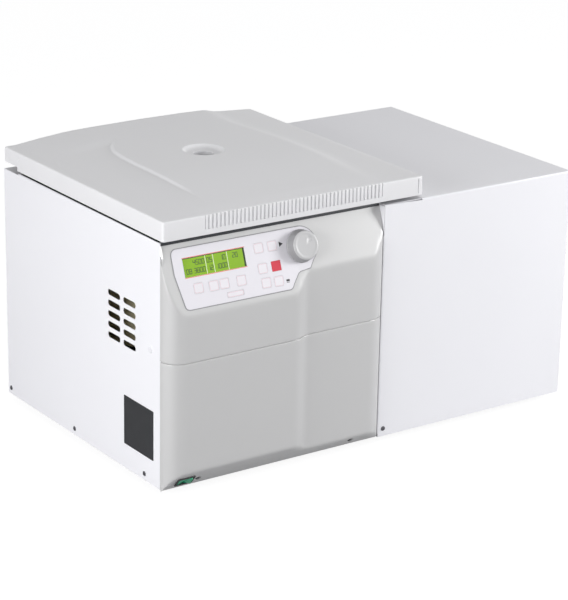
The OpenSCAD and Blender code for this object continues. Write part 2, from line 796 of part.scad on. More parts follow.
module drive_motor() {
    flange_z = bracket_z + bracket_t;
    neck_top = bowl_floor_z + 4;
    color([0.3, 0.32, 0.35]) translate([center_x, center_y, 0]) difference() {
        union() {
            translate([0, 0, motor_low_z]) cylinder(h = motor_high_z - motor_low_z, r = motor_r, $fn = 96);
            translate([0, 0, flange_z]) cylinder(h = 6, r = motor_r + 14, $fn = 96);
            translate([0, 0, motor_high_z - 1]) cylinder(h = neck_top - motor_high_z + 1, r = motor_neck_r);
        }
        translate([0, 0, motor_low_z - 1]) cylinder(h = big, r = shaft_r + 1);
        translate([0, 0, motor_low_z - 1]) cylinder(h = bearing_w + 1, r = bearing_r + fit_run);
        translate([0, 0, neck_top - bearing_w]) cylinder(h = bearing_w + 1, r = bearing_r + fit_run);
    }
}

module motor_bearings() {
    color([0.7, 0.71, 0.72]) translate([center_x, center_y, 0])
        for (z = [motor_low_z, bowl_floor_z + 4 - bearing_w]) translate([0, 0, z])
            ring(shaft_r + fit_run, bearing_r, bearing_w);
}

module motor_shaft() {
    color([0.75, 0.76, 0.78]) translate([center_x, center_y, motor_low_z + 1])
        cylinder(h = rotor_hub_z + nut_bore_h - 2 - motor_low_z, r = shaft_r);
}

// Angle rotor: a dished block with leaning tube places
module rotor() {
    color([0.55, 0.56, 0.58]) translate([center_x, center_y, 0]) difference() {
        rotate_extrude($fn = 96) polygon([
            [shaft_r + fit_run, rotor_low_z + 8], [28, rotor_low_z + 8], [34, rotor_low_z],
            [rotor_r - 8, rotor_low_z],
            [rotor_r, rotor_low_z + 20], [rotor_rim_r + 3, rotor_top_z], [rotor_rim_r, rotor_top_z],
            [rotor_hub_r, rotor_hub_z], [shaft_r + fit_run, rotor_hub_z]]);
        for (i = [0 : tube_count - 1]) rotate(i * 360 / tube_count)
            translate([tube_mouth_r, 0, tube_mouth_z]) rotate([0, 180 - tube_deg, 0])
                translate([0, 0, -30]) cylinder(h = tube_depth + 30, r = tube_r);
    }
}

module rotor_nut() {
    color([0.2, 0.2, 0.21]) translate([center_x, center_y, rotor_hub_z]) difference() {
        cylinder(h = nut_h, r = nut_r);
        translate([0, 0, -1]) cylinder(h = nut_bore_h + 1, r = shaft_r + fit_run);
        for (i = [0 : 11]) rotate(i * 30) translate([nut_r + 1.4, 0, 4])
            cylinder(h = nut_h, r = 2.6, $fn = 24);
    }
}

// Cooling unit

module compressor() {
    r = compressor_r;
    color([0.08, 0.08, 0.09]) translate([cab_mid_x, compressor_y, mount_z]) {
        translate([0, 0, 4]) rotate_extrude($fn = 96) polygon(concat(
            [[0, 0], [r - 18, 0]], arc(r - 18, 18, 18, -90, 0, 5),
            arc(r - 40, compressor_h - 44, 40, 0, 90, 8), [[0, compressor_h - 4]]));
        difference() {
            translate([-compressor_foot - 14, -compressor_foot - 14, 0])
                cube([2 * compressor_foot + 28, 2 * compressor_foot + 28, 5]);
            translate([0, 0, -1]) for (side = [-1, 1]) {
                translate([-compressor_foot + 20, side * (compressor_foot + 6) - 20, 0])
                    cube([2 * compressor_foot - 40, 40, 8]);
                translate([side * (compressor_foot + 6) - 20, -compressor_foot + 20, 0])
                    cube([40, 2 * compressor_foot - 40, 8]);
            }
        }
    }
}

// Finned block with its tube bends
module condenser() {
    x = cab_mid_x - condenser_w / 2;
    fins = 20;
    color([0.72, 0.73, 0.75]) {
        translate([x, condenser_y, condenser_z]) difference() {
            cube([condenser_w, condenser_d, condenser_h]);
            for (i = [1 : fins - 1]) translate([i * condenser_w / fins - 1.5, -1, 6])
                cube([3, 9, condenser_h - 12]);
        }
        for (side_x = [x - condenser_side_t, x + condenser_w])
            translate([side_x, condenser_y, floor_z])
                cube([condenser_side_t, condenser_d + 2, condenser_z + condenser_h + 4 - floor_z]);
    }
}

// Plate with a round duct, three arms and the fan motor on them
module fan_shroud() {
    color([0.2, 0.2, 0.21]) difference() {
        union() {
            difference() {
                union() {
                    translate([cab_mid_x - condenser_w / 2, condenser_y - 2, condenser_z])
                        cube([condenser_w, 2, condenser_h]);
                    y_rod(cab_mid_x, shroud_y, fan_z, shroud_d, fan_r + 7);
                }
                y_rod(cab_mid_x, shroud_y - 1, fan_z, shroud_d + 2, fan_r + 4);
            }
            for (i = [0 : 2]) translate([cab_mid_x, shroud_y, fan_z]) rotate([0, 90 + i * 120, 0])
                translate([-4, 0, 0]) cube([8, 5, fan_r + 6]);
            y_rod(cab_mid_x, shroud_y - 14, fan_z, 19, fan_hub_r);
            y_rod(cab_mid_x, shroud_y, fan_z, 24, fan_axle_r);
        }
    }
}

module condenser_fan() {
    color([0.25, 0.26, 0.28]) translate([cab_mid_x, shroud_y + 7, fan_z]) rotate([-90, 0, 0]) difference() {
        union() {
            cylinder(h = 16, r = fan_hub_r);
            for (i = [0 : 6]) rotate(i * 360 / 7) translate([fan_hub_r - 3, 0, 8]) rotate([32, 0, 0])
                translate([0, -12, -1]) cube([fan_r - fan_hub_r, 24, 2]);
        }
        translate([0, 0, -1]) cylinder(h = 18.2, r = fan_axle_r + fit_run);
    }
}

// Discharge line, liquid line with its drier, and suction line
module refrigerant_lines() {
    cx = cab_mid_x;
    cy = compressor_y;
    wall_x = partition_x + sheet_t;
    low = mount_z + 60;
    end_y = condenser_y + 6;
    side_x = cx + max(condenser_w / 2 + condenser_side_t, compressor_r + pipe_r) + pipe_r;
    color([0.76, 0.46, 0.26]) {
        pipe([[cx + compressor_r + fit_seat, cy, low], [side_x, cy, low], [side_x, end_y, low],
            [side_x, end_y, condenser_z + condenser_h - 20]], pipe_r);
        pipe([[wall_x + 14, end_y, condenser_z + 30], [wall_x + 14, cy + 40, condenser_z + 30],
            [wall_x + 14, cy + 40, deck_z - 60], [wall_x + fit_seat, cy + 40, deck_z - 60]], pipe_r);
        rod([wall_x + 14, cy + 90, condenser_z + 30], [wall_x + 14, cy + 165, condenser_z + 30], 11);
        pipe([[wall_x + fit_seat, cy, deck_z - 90], [wall_x + 14, cy, deck_z - 90],
            [wall_x + 14, cy, low], [cx - compressor_r - fit_seat, cy, low]], pipe_r);
    }
}

// Electronics

// Circuit board behind the control face, with the display module and the key switches
module control_board() {
    color([0.1, 0.4, 0.25]) on_face() {
        difference() {
            union() {
                translate([board_x, board_low, -board_depth - board_t])
                    cube([step_x - board_x, board_high - board_low, board_t]);
                translate([step_x - 1, knob_up - 20, -board_depth - board_t])
                    cube([knob_x + 12 - step_x, board_high - knob_up + 20, board_t]);
            }
            translate([knob_x, knob_up, -board_depth - board_t - 1])
                cylinder(h = board_t + 2, r = encoder_shaft_r + 1, $fn = 32);
        }
        translate([lcd_x, lcd_low, -board_depth - tiny])
            cube([lcd_w, board_high - lcd_low, board_depth - window_set - window_t - fit_seat]);
        for (k = keys) translate([k[1] - 3, min(k[2], board_high - 4) - 3, -board_depth - tiny])
            cube([6, 6, key_switch_h]);
        translate([bar_key_x - 3, bar_key_up - 3, -board_depth - tiny]) cube([6, 6, key_switch_h]);
    }
}

// Motor drive board on the bulkhead's back, with its capacitors and heat sink
module drive_board() {
    x = left_x + 20;
    y = bulkhead_y + sheet_t;
    color([0.12, 0.42, 0.28]) {
        translate([x, y + 8, sill_z + 50]) cube([72, 1.6, 110]);
        for (dx = [6, 66], dz = [56, 154]) y_rod(x + dx, y, sill_z + dz, 8 + tiny, 3);
        for (i = [0 : 2]) y_rod(x + 16 + i * 20, y + 9, sill_z + 80, 26, 8);
        for (i = [0 : 5]) translate([x + 6 + i * 11, y + 9, sill_z + 105]) cube([3, 24, 46]);
        translate([x + 6, y + 9, sill_z + 105]) cube([58, 4, 46]);
    }
}

// Appliance inlet with a bay for the fuse drawer below its socket
module mains_inlet() {
    y = rear_y - inlet_deep;
    color([0.1, 0.1, 0.11]) difference() {
        union() {
            translate([inlet_x - inlet_w / 2, y, inlet_z - inlet_h / 2])
                cube([inlet_w, inlet_deep + 1, inlet_h]);
            translate([inlet_x - inlet_w / 2 - inlet_lip, rear_y, inlet_z - inlet_h / 2 - 3])
                cube([inlet_w + 2 * inlet_lip, inlet_flange_t, inlet_h + 6]);
        }
        translate([inlet_x - 12, rear_y - 16, inlet_z - 4]) cube([24, 30, 17]);
        translate([inlet_x - drawer_w / 2 - fit_seat, rear_y - 24, inlet_z - 20 - fit_seat])
            cube([drawer_w + 2 * fit_seat, 40, drawer_h + 2 * fit_seat]);
    }
    color([0.8, 0.7, 0.4]) for (dx = [-7, 0, 7])
        translate([inlet_x + dx - 1, rear_y - 16 - tiny, inlet_z + 2]) cube([2, 13, 4]);
}

module fuse_drawer() {
    color([0.14, 0.14, 0.15]) difference() {
        translate([inlet_x - drawer_w / 2, rear_y - 24 + fit_seat, inlet_z - 20])
            cube([drawer_w, 24 + inlet_flange_t - fit_seat, drawer_h]);
        translate([inlet_x - drawer_w / 2 + 2, rear_y - 22, inlet_z - 18]) cube([drawer_w - 4, 18, drawer_h]);
    }
}

// Lid

// Raised middle of the lid, as a sloping block drawn inwards by inset
module lid_crown(inset) {
    low = lid_high_z - lid_t - 1;
    top = lid_high_z + crown_h - inset;
    hull() {
        translate([left_x, front_y, low]) linear_extrude(lid_t + 1 + tiny - inset)
            polygon([
                [30 + inset, lid_d - inset], [88 + inset, inset], [lid_w - 52.6 - inset, inset],
                [lid_w - 16.6 - inset, lid_d - inset]]);
        translate([left_x, front_y, top - tiny]) linear_extrude(tiny) polygon([
            [120 + inset, lid_d - 16 - inset], [112 + inset, lid_d - 111.7], [104 + inset, 80],
            [112 + inset, 36 + inset], [lid_w - 82.6 - inset, 36 + inset],
            [lid_w - 72.6 - inset, lid_d - 111.7], [lid_w - 104.6 - inset, lid_d - 16 - inset]]);
    }
}

module lid_outline(inset) {
    w = lid_w - 2 * inset;
    d = lid_d - 2 * inset;
    translate([left_x + lid_w / 2, front_y + lid_d / 2]) polygon(round_rect(w, d, max(6 - inset, 1)));
}

module lid_cover() {
    boss_z = lid_high_z + crown_h;
    color([0.82, 0.82, 0.84]) difference() {
        union() {
            difference() {
                union() {
                    translate([0, 0, lid_low_z]) linear_extrude(lid_skirt_h) lid_outline(0);
                    lid_crown(0);
                }
                translate([0, 0, lid_low_z - 1]) linear_extrude(lid_skirt_h - lid_t + 1) lid_outline(lid_t);
                lid_crown(lid_t);
            }
            translate([center_x, center_y, lid_high_z - lid_t - 1])
                cylinder(h = crown_h + 1 + tiny, r = port_r + 3);
        }
        translate([center_x, center_y, boss_z - 7]) cylinder(h = 7 + tiny, r1 = port_bore_r + 4, r2 = port_r);
        translate([center_x, center_y, lid_low_z]) cylinder(h = big, r = port_bore_r);
        for (i = [0 : grip_count - 1])
            translate([left_x + grip_x + i * grip_pitch - 1.3, front_y - 1, lid_low_z + 7.5])
                cube([2.6, 2.6, lid_skirt_h]);
        translate([left_x - 1, lid_back_y - hinge_notch_d, lid_low_z - 1])
            cube([lid_w + 2, hinge_notch_d + 1, hinge_notch_h + 1]);
        difference() {
            translate([left_x - 1, hinge_y, lid_low_z])
                cube([lid_w + 2, hinge_back + 1, hinge_z - lid_low_z]);
            x_rod(left_x - 2, hinge_y, hinge_z, lid_w + 4, hinge_back);
        }
    }
}

// Inner pan of the lid with the collar that holds the port window
module lid_liner() {
    low_y = front_y + lid_t + 4;
    color([0.85, 0.86, 0.88]) difference() {
        union() {
            translate([left_x + lid_t + 4, low_y, liner_z])
                cube([lid_w - 2 * lid_t - 8, liner_back_y - low_y, liner_t]);
            for (x = [left_x + lid_t + 4, left_x + lid_w - lid_t - 6])
                translate([x, low_y, liner_z])
                    cube([liner_t, liner_back_y - low_y, lid_high_z - lid_t - liner_z]);
            for (y = [low_y, liner_back_y - liner_t])
                translate([left_x + lid_t + 4, y, liner_z])
                    cube([lid_w - 2 * lid_t - 8, liner_t, lid_high_z - lid_t - liner_z]);
            translate([center_x, center_y, liner_z])
                cylinder(h = lid_high_z - lid_t - 1 - liner_z, r = port_bore_r + 4.5);
        }
        translate([center_x, center_y, liner_z + liner_t]) cylinder(h = big, r = port_bore_r + 2 + fit_seat);
        translate([center_x, center_y, liner_z - 1]) cylinder(h = big, r = port_bore_r - 2);
        for (x = latch_places) translate([x - striker_w / 2 - fit_seat, striker_y - fit_seat, liner_z - 1])
            cube([striker_w + 2 * fit_seat, striker_t + 2 * fit_seat, liner_t + 2]);
    }
}

module port_window() {
    color([0.7, 0.85, 0.9]) translate([center_x, center_y, liner_z + liner_t])
        cylinder(h = 4, r = port_bore_r + 2);
}

// Arms under the lid's top that turn on the hinge pins
module lid_hinge_arms() {
    top_z = lid_high_z - lid_t;
    color([0.35, 0.36, 0.38]) for (x = hinge_places) difference() {
        union() {
            x_rod(x + ear_t + 2, hinge_y, hinge_z, hinge_gap - 4, hub_r);
            translate([x + ear_t + 2, liner_back_y + 4, hinge_z])
                cube([hinge_gap - 4, hinge_y - liner_back_y - 4 + hub_r, top_z - hinge_z]);
        }
        x_rod(x, hinge_y, hinge_z, 60, pin_r + fit_run);
    }
}

// Brackets on the deck, each with two ears round an arm
module hinge_brackets() {
    base_y = liner_back_y + 2;
    color([0.5, 0.51, 0.53]) for (x = hinge_places) difference() {
        union() {
            translate([x, base_y, deck_z]) cube([2 * ear_t + hinge_gap, hinge_y - 7 - base_y, 3]);
            for (dx = [0, ear_t + hinge_gap]) {
                x_rod(x + dx, hinge_y, hinge_z, ear_t, hub_r);
                translate([x + dx, 0, 0]) rotate([90, 0, 90]) linear_extrude(ear_t) polygon([
                    [base_y, deck_z], [hinge_y - 7, deck_z], [hinge_y - 5.6, hinge_z - 5.6],
                    [hinge_y, hinge_z], [hinge_y - 4, hinge_z + 6.9]]);
            }
        }
        x_rod(x - 1, hinge_y, hinge_z, 60, pin_r + fit_run);
    }
}

module hinge_pins() {
    l = 2 * ear_t + hinge_gap + spring_l + 4;
    color([0.75, 0.76, 0.78]) for (x = hinge_places) {
        x_rod(x - 2, hinge_y, hinge_z, l, pin_r);
        x_rod(x - 2 - 1.5, hinge_y, hinge_z, 1.5 + tiny, pin_r + 2);
    }
}

// Counterbalance springs round the pins, each drawn as a sleeve of its outer size
module torsion_springs() {
    color([0.3, 0.3, 0.32]) for (x = hinge_places)
        translate([x + 2 * ear_t + hinge_gap + fit_seat, hinge_y, hinge_z])
        rotate([0, 90, 0]) ring(pin_r + fit_run, hub_r - 0.6, spring_l - 1);
}

// Plates under the lid's front with a window for each hook
module latch_strikers() {
    low = latch_z + 1;
    color([0.7, 0.71, 0.72]) for (x = latch_places) difference() {
        translate([x - striker_w / 2, striker_y, low]) cube([striker_w, striker_t, lid_high_z - lid_t - low]);
        translate([x - hook_w / 2 - 2, striker_y - 1, low + 6]) cube([hook_w + 4, striker_t + 2, 20]);
    }
}

// Cross shaft with its two hooks, drawn released
module latch_shaft() {
    x0 = latch_places[0] - 24 - lug_t;
    x1 = latch_places[1] + 32 + lug_t;
    color([0.65, 0.66, 0.68]) {
        x_rod(x0, latch_y, latch_z, x1 - x0, latch_r);
        for (x = latch_places) translate([x - hook_w / 2, latch_y, latch_z]) {
            rotate([0, 90, 0]) cylinder(h = hook_w, r = latch_r + 3);
            rotate([90, 0, 90]) linear_extrude(hook_w) polygon([
                [-4, 0], [4, 0], [4, 17.5], [10, 17.5], [10, 22.5], [-1, 22.5]]);
        }
    }
}

// Gear motor that turns the cross shaft
module lock_motor() {
    x = latch_places[1] + 21 + lug_t;
    y = bulkhead_y + sheet_t;
    color([0.25, 0.26, 0.28]) difference() {
        union() {
            translate([x, y, latch_z - 14]) cube([30, 26, 28]);
            translate([x + 6, y + 13, latch_z - 50]) cylinder(h = 37, r = 11);
        }
        x_rod(x - 1, latch_y, latch_z, 13, latch_r + fit_run);
    }
}

// Plug of the emergency release, which pulls out of the left panel
module release_plug() {
    color([0.6, 0.6, 0.62]) {
        x_rod(left_x - screw_h, release_y, sill_z + release_h, screw_h, 5);
        x_rod(left_x - screw_h, release_y, sill_z + release_h, 20, 3.5);
    }
}

base_plate();
front_bulkhead();
partition_wall();
left_side_panel();
rear_panel();
cabinet_cover();
top_deck();
upper_fascia();
lower_fascia();
control_overlay();
display_window();
precool_key();
start_key();
brake_key();
stop_key();
lid_key();
pulse_key();
speed_key();
time_key();
rotor_key();
temperature_key();
program_key();
control_knob();
knob_encoder();
switch_housing();
power_rocker();
rating_plate();
panel_screws();
rubber_feet();
chamber_bowl();
chamber_gasket();
insulation_jacket();
evaporator_coil();
motor_bracket();
rubber_isolators();
drive_motor();
motor_bearings();
motor_shaft();
rotor();
rotor_nut();
compressor();
condenser();
fan_shroud();
condenser_fan();
refrigerant_lines();
control_board();
drive_board();
mains_inlet();
fuse_drawer();
lid_cover();
lid_liner();
port_window();
lid_hinge_arms();
hinge_brackets();
hinge_pins();
torsion_springs();
latch_strikers();
latch_shaft();
lock_motor();
release_plug();
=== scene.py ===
"""Looks of a refrigerated bench centrifuge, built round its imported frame.

Sizes are millimetres until a mesh is made. A drawing's Z points out of the piece that it is drawn on.
"""
import math

import bmesh
import bpy
from mathutils import Matrix, Vector
from mathutils.geometry import tessellate_polygon


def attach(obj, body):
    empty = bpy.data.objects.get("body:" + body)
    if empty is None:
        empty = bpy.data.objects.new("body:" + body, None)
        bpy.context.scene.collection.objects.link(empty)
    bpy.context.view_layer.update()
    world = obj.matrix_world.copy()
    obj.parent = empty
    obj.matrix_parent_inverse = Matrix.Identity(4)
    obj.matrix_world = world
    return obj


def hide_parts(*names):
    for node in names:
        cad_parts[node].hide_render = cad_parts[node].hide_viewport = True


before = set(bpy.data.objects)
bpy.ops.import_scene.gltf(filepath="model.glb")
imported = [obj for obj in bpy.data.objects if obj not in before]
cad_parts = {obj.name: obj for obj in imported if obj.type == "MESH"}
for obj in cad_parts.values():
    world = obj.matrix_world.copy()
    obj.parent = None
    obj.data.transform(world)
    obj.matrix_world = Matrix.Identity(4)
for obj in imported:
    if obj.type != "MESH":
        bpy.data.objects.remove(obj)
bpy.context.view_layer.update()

MM = 0.001

# Faces larger than this are shaded flat, so that a rounded edge doesn't bend their shading (m2)
LARGE_FACE = 0.0015

# Places of the housing, as in the part's source
LEFT_X = -357.5
RIGHT_X = 357.5
FRONT_Y = -213.0
REAR_Y = 230.0
SILL_Z = 12.0
DECK_Z = 365.0
HOUSING_H = DECK_Z - SILL_Z
SHEET_T = 1.5
DECK_T = 3
DECK_GAP = 0.4
PANEL_FRONT_Y = FRONT_Y + 8
FASCIA_W = 368
FASCIA_RIGHT_X = LEFT_X + FASCIA_W
PARTITION_X = LEFT_X + 434.6

# The fascia in plan, from the left side and the cabinet front
PROUD = 20
STEP = 10
STEP_X = 208
BEVEL_W = 21
CORNER_R = 28
SEAM_H = 188.5
LEAN_H = 256
LEAN = math.radians(20)
UNDER = math.radians(50)
UNDER_BACK = 3.3

# The display's lower left corner and size, and the knob's centre, on the leaning face
LCD = (33.3, 51.5, 99.4, 26.0)
KNOB = (224, 64.3)

# The switch's centre on the undercut
SWITCH = (31.3, 16)

# The lid, with places from its left side and its front
LID_W = 434.6
LID_D = 441.7
LID_LOW = 370.9
LID_HIGH = LID_LOW + 27.7
LID_T = 3.0
HINGE_V = LID_D - 17
HINGE_Z = 383
PORT = (222, 246)
CHAMBER = (LEFT_X + PORT[0], FRONT_Y + PORT[1])


# Frames that pieces are drawn in

def face_matrix(x=0.0, up=0.0, out=0.0):
    """From a drawing on the leaning control face to the row frame."""
    turn = Matrix.Rotation(math.pi / 2 - LEAN, 4, "X")
    corner = Matrix.Translation((LEFT_X, FRONT_Y - PROUD, SILL_Z + LEAN_H))
    return corner @ turn @ Matrix.Translation((x, up, out))


def under_matrix(x=0.0, up=0.0, out=0.0):
    """From a drawing on the undercut to the row frame."""
    turn = Matrix.Rotation(math.pi - UNDER, 4, "X")
    corner = Matrix.Translation((LEFT_X, FRONT_Y + UNDER_BACK, SILL_Z))
    return corner @ turn @ Matrix.Translation((x, up, out))


LEFT_SIDE = Matrix(((0, 0, -1, 0), (-1, 0, 0, 0), (0, 1, 0, 0), (0, 0, 0, 1)))
FRONT_SIDE = Matrix(((1, 0, 0, 0), (0, 0, -1, 0), (0, 1, 0, 0), (0, 0, 0, 1)))
RIGHT_SIDE = Matrix(((0, 0, 1, 0), (1, 0, 0, 0), (0, 1, 0, 0), (0, 0, 0, 1)))
REAR_SIDE = Matrix(((-1, 0, 0, 0), (0, 0, 1, 0), (0, 1, 0, 0), (0, 0, 0, 1)))


def at(x, y, z, turn=None):
    """A place, with the way that the drawing's Z points."""
    return Matrix.Translation((x, y, z)) @ (turn or Matrix.Identity(4))


# Mesh helpers

def new_object(name, vertices, faces, matrix=None, smooth=None):
    """A mesh object whose place is in its mesh. Vertices are millimetres, smooth is an angle in degrees."""
    matrix = matrix or Matrix.Identity(4)
    mesh = bpy.data.meshes.new(name)
    mesh.from_pydata([(matrix @ Vector(v)) * MM for v in vertices], [], faces)
    mesh.validate()
    obj = bpy.data.objects.new(name, mesh)
    bpy.context.scene.collection.objects.link(obj)
    clean(obj, smooth)
    return obj


def clean(obj, smooth=None):
    """Merges doubles, turns the faces outwards and shades smoothly up to an angle."""
    form = bmesh.new()
    form.from_mesh(obj.data)
    bmesh.ops.remove_doubles(form, verts=form.verts, dist=1e-6)
    bmesh.ops.recalc_face_normals(form, faces=form.faces)
    form.to_mesh(obj.data)
    form.free()
    shade(obj, smooth)


def shade(obj, smooth):
    """Shades smoothly up to an angle in degrees, with large faces flat."""
    if smooth is None:
        return
    for face in obj.data.polygons:
        face.use_smooth = True
    obj.data.set_sharp_from_angle(angle=math.radians(smooth))
    for face in obj.data.polygons:
        face.use_smooth = face.area < LARGE_FACE


def apply_modifiers(obj):
    """Turns the object with its modifiers into a plain mesh."""
    graph = bpy.context.evaluated_depsgraph_get()
    mesh = bpy.data.meshes.new_from_object(obj.evaluated_get(graph))
    obj.modifiers.clear()
    obj.data = mesh
    return obj


def modified(obj, kind, **values):
    """Adds one modifier and applies it at once."""
    modifier = obj.modifiers.new(kind.lower(), kind)
    for key, value in values.items():
        setattr(modifier, key, value)
    return apply_modifiers(obj)


def cut(obj, *cutters):
    """Takes the cutters out of a piece."""
    for cutter in cutters:
        modified(obj, "BOOLEAN", operation="DIFFERENCE", solver="EXACT", object=cutter)
        bpy.data.objects.remove(cutter)
    return obj


def joined(name, *objects):
    """One object from several."""
    form = bmesh.new()
    for obj in objects:
        form.from_mesh(obj.data)
    mesh = bpy.data.meshes.new(name)
    form.to_mesh(mesh)
    form.free()
    result = bpy.data.objects.new(name, mesh)
    bpy.context.scene.collection.objects.link(result)
    for obj in objects:
        bpy.data.objects.remove(obj)
    return result


def ring_area(ring):
    """Area of a ring, positive where it runs anticlockwise."""
    return sum(a[0] * b[1] - b[0] * a[1] for a, b in zip(ring, ring[1:] + ring[:1])) / 2


def inset_ring(ring, inset):
    """The ring moved to its left by a small inset."""
    result = []
    count = len(ring)
    for i, (x, y) in enumerate(ring):
        before = Vector((x, y)) - Vector(ring[i - 1])
        after = Vector(ring[(i + 1) % count]) - Vector((x, y))
        n1 = Vector((-before.y, before.x)).normalized()
        n2 = Vector((-after.y, after.x)).normalized()
        middle = (n1 + n2).normalized()
        reach = inset / max(0.5, middle.dot(n1))
        result.append((x + middle.x * reach, y + middle.y * reach))
    return result


def plate(name, outline, thickness, holes=(), edge=0.4, steps=2, matrix=None):
    """A flat plate with rounded edges and holes. It rises from Z = 0 in its drawing."""
    outline = list(outline)
    rings = [outline if ring_area(outline) > 0 else outline[::-1]]
    rings += [list(h) if ring_area(list(h)) < 0 else list(h)[::-1] for h in holes]
    profile = []
    for k in range(steps + 1):
        turn = math.pi / 2 * k / steps
        profile.append((edge * (1 - math.sin(turn)), edge * (1 - math.cos(turn))))
    profile += [(inset, thickness - z) for inset, z in reversed(profile)]
    vertices = []
    faces = []
    caps = []
    for ring in rings:
        start = len(vertices)
        count = len(ring)
        for inset, z in profile:
            vertices += [(x, y, z) for x, y in inset_ring(ring, inset)]
        for level in range(len(profile) - 1):
            for i in range(count):
                a = start + level * count + i
                b = start + level * count + (i + 1) % count
                faces.append((a, b, b + count, a + count))
        caps.append((start, count))
    for level, flip in ((0, True), (len(profile) - 1, False)):
        loops = []
        numbers = []
        for start, count in caps:
            first = start + level * count
            loops.append([Vector(vertices[i]) for i in range(first, first + count)])
            numbers += range(first, first + count)
        for triangle in tessellate_polygon(loops):
            corners = [numbers[i] for i in triangle]
            faces.append(corners[::-1] if flip else corners)
    obj = new_object(name, vertices, faces, matrix, smooth=35)
    axis = (matrix or Matrix.Identity(4)).to_3x3() @ Vector((0, 0, 1))
    for face in obj.data.polygons:
        if abs(face.normal.dot(axis)) > 0.999:
            face.use_smooth = False
    return obj


def arc(cx, cy, r, a0, a1, n):
    """Points of an arc between two angles in degrees."""
    angles = [math.radians(a0 + (a1 - a0) * i / n) for i in range(n + 1)]
    return [(cx + r * math.cos(a), cy + r * math.sin(a)) for a in angles]


def circle(cx, cy, r, n=48):
    """A closed ring of points."""
    return arc(cx, cy, r, 0, 360 - 360 / n, n - 1)


def rounded(w, h, r, cx=0.0, cy=0.0, n=6):
    """A rounded rectangle round a centre."""
    ring = []
    for quarter, (across, up) in enumerate(((1, 1), (-1, 1), (-1, -1), (1, -1))):
        start = 90 * quarter
        ring += arc(cx + across * (w / 2 - r), cy + up * (h / 2 - r), r, start, start + 90, n)
    return ring


def box_ring(x, y, w, h):
    """A rectangle from its lower left corner."""
    return [(x, y), (x + w, y), (x + w, y + h), (x, y + h)]


def slot_ring(length, width, cx=0.0, cy=0.0):
    """A level slot with round ends."""
    return (arc(cx + (length - width) / 2, cy, width / 2, -90, 90, 10)
            + arc(cx - (length - width) / 2, cy, width / 2, 90, 270, 10))


def lathe(name, profile, matrix=None, count=96, smooth=32):
    """A turned piece from (radius, height) points. A profile away from the axis is closed to a ring."""
    open_ends = profile[0][0] < 1e-6 and profile[-1][0] < 1e-6
    vertices = []
    faces = []
    for r, z in profile:
        for i in range(count):
            a = 2 * math.pi * i / count
            vertices.append((r * math.cos(a), r * math.sin(a), z))
    levels = len(profile)
    for level in range(levels - 1 if open_ends else levels):
        upper = (level + 1) % levels
        for i in range(count):
            j = (i + 1) % count
            faces.append((level * count + i, level * count + j, upper * count + j, upper * count + i))
    return new_object(name, vertices, faces, matrix, smooth)


def block(name, low, high, matrix=None, edge=0.0, segments=3):
    """A box with rounded edges between two corners."""
    (x0, y0, z0), (x1, y1, z1) = low, high
    vertices = [(x, y, z) for z in (z0, z1) for y in (y0, y1) for x in (x0, x1)]
    faces = [(0, 2, 3, 1), (4, 5, 7, 6), (0, 1, 5, 4), (2, 6, 7, 3), (0, 4, 6, 2), (1, 3, 7, 5)]
    obj = new_object(name, vertices, faces, matrix)
    return rounded_edges(obj, edge, segments) if edge else obj


def rounded_edges(obj, width, segments=3, angle=30, smooth=35):
    """Rounds every edge sharper than the angle."""
    modified(obj, "BEVEL", width=width * MM, segments=segments, limit_method="ANGLE",
             angle_limit=math.radians(angle), harden_normals=False)
    shade(obj, smooth)
    return obj


def prism(name, ring, length, matrix=None, edge=0.0):
    """An extruded outline, from Z = 0 in its drawing."""
    count = len(ring)
    vertices = [(x, y, 0) for x, y in ring] + [(x, y, length) for x, y in ring]
    faces = [tuple(range(count))[::-1], tuple(range(count, 2 * count))]
    faces += [(i, (i + 1) % count, (i + 1) % count + count, i + count) for i in range(count)]
    obj = new_object(name, vertices, faces, matrix)
    return rounded_edges(obj, edge) if edge else obj


def node_copy(name, node, edge=0.0, angle=30, segments=2, smooth=32):
    """A copy of a CAD node's mesh with clean faces and rounded edges."""
    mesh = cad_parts[node].data.copy()
    obj = bpy.data.objects.new(name, mesh)
    bpy.context.scene.collection.objects.link(obj)
    obj.data.materials.clear()
    stored = mesh.attributes.get("custom_normal")
    if stored:
        mesh.attributes.remove(stored)
    form = bmesh.new()
    form.from_mesh(mesh)
    bmesh.ops.remove_doubles(form, verts=form.verts, dist=2e-6)
    bmesh.ops.dissolve_limit(form, angle_limit=math.radians(0.1), verts=form.verts, edges=form.edges)
    form.to_mesh(mesh)
    form.free()
    if edge:
        modified(obj, "BEVEL", width=edge * MM, segments=segments, limit_method="ANGLE",
                 angle_limit=math.radians(angle), use_clamp_overlap=True)
    shade(obj, smooth)
    return obj


# Geometry Nodes that repeat a piece over a grid

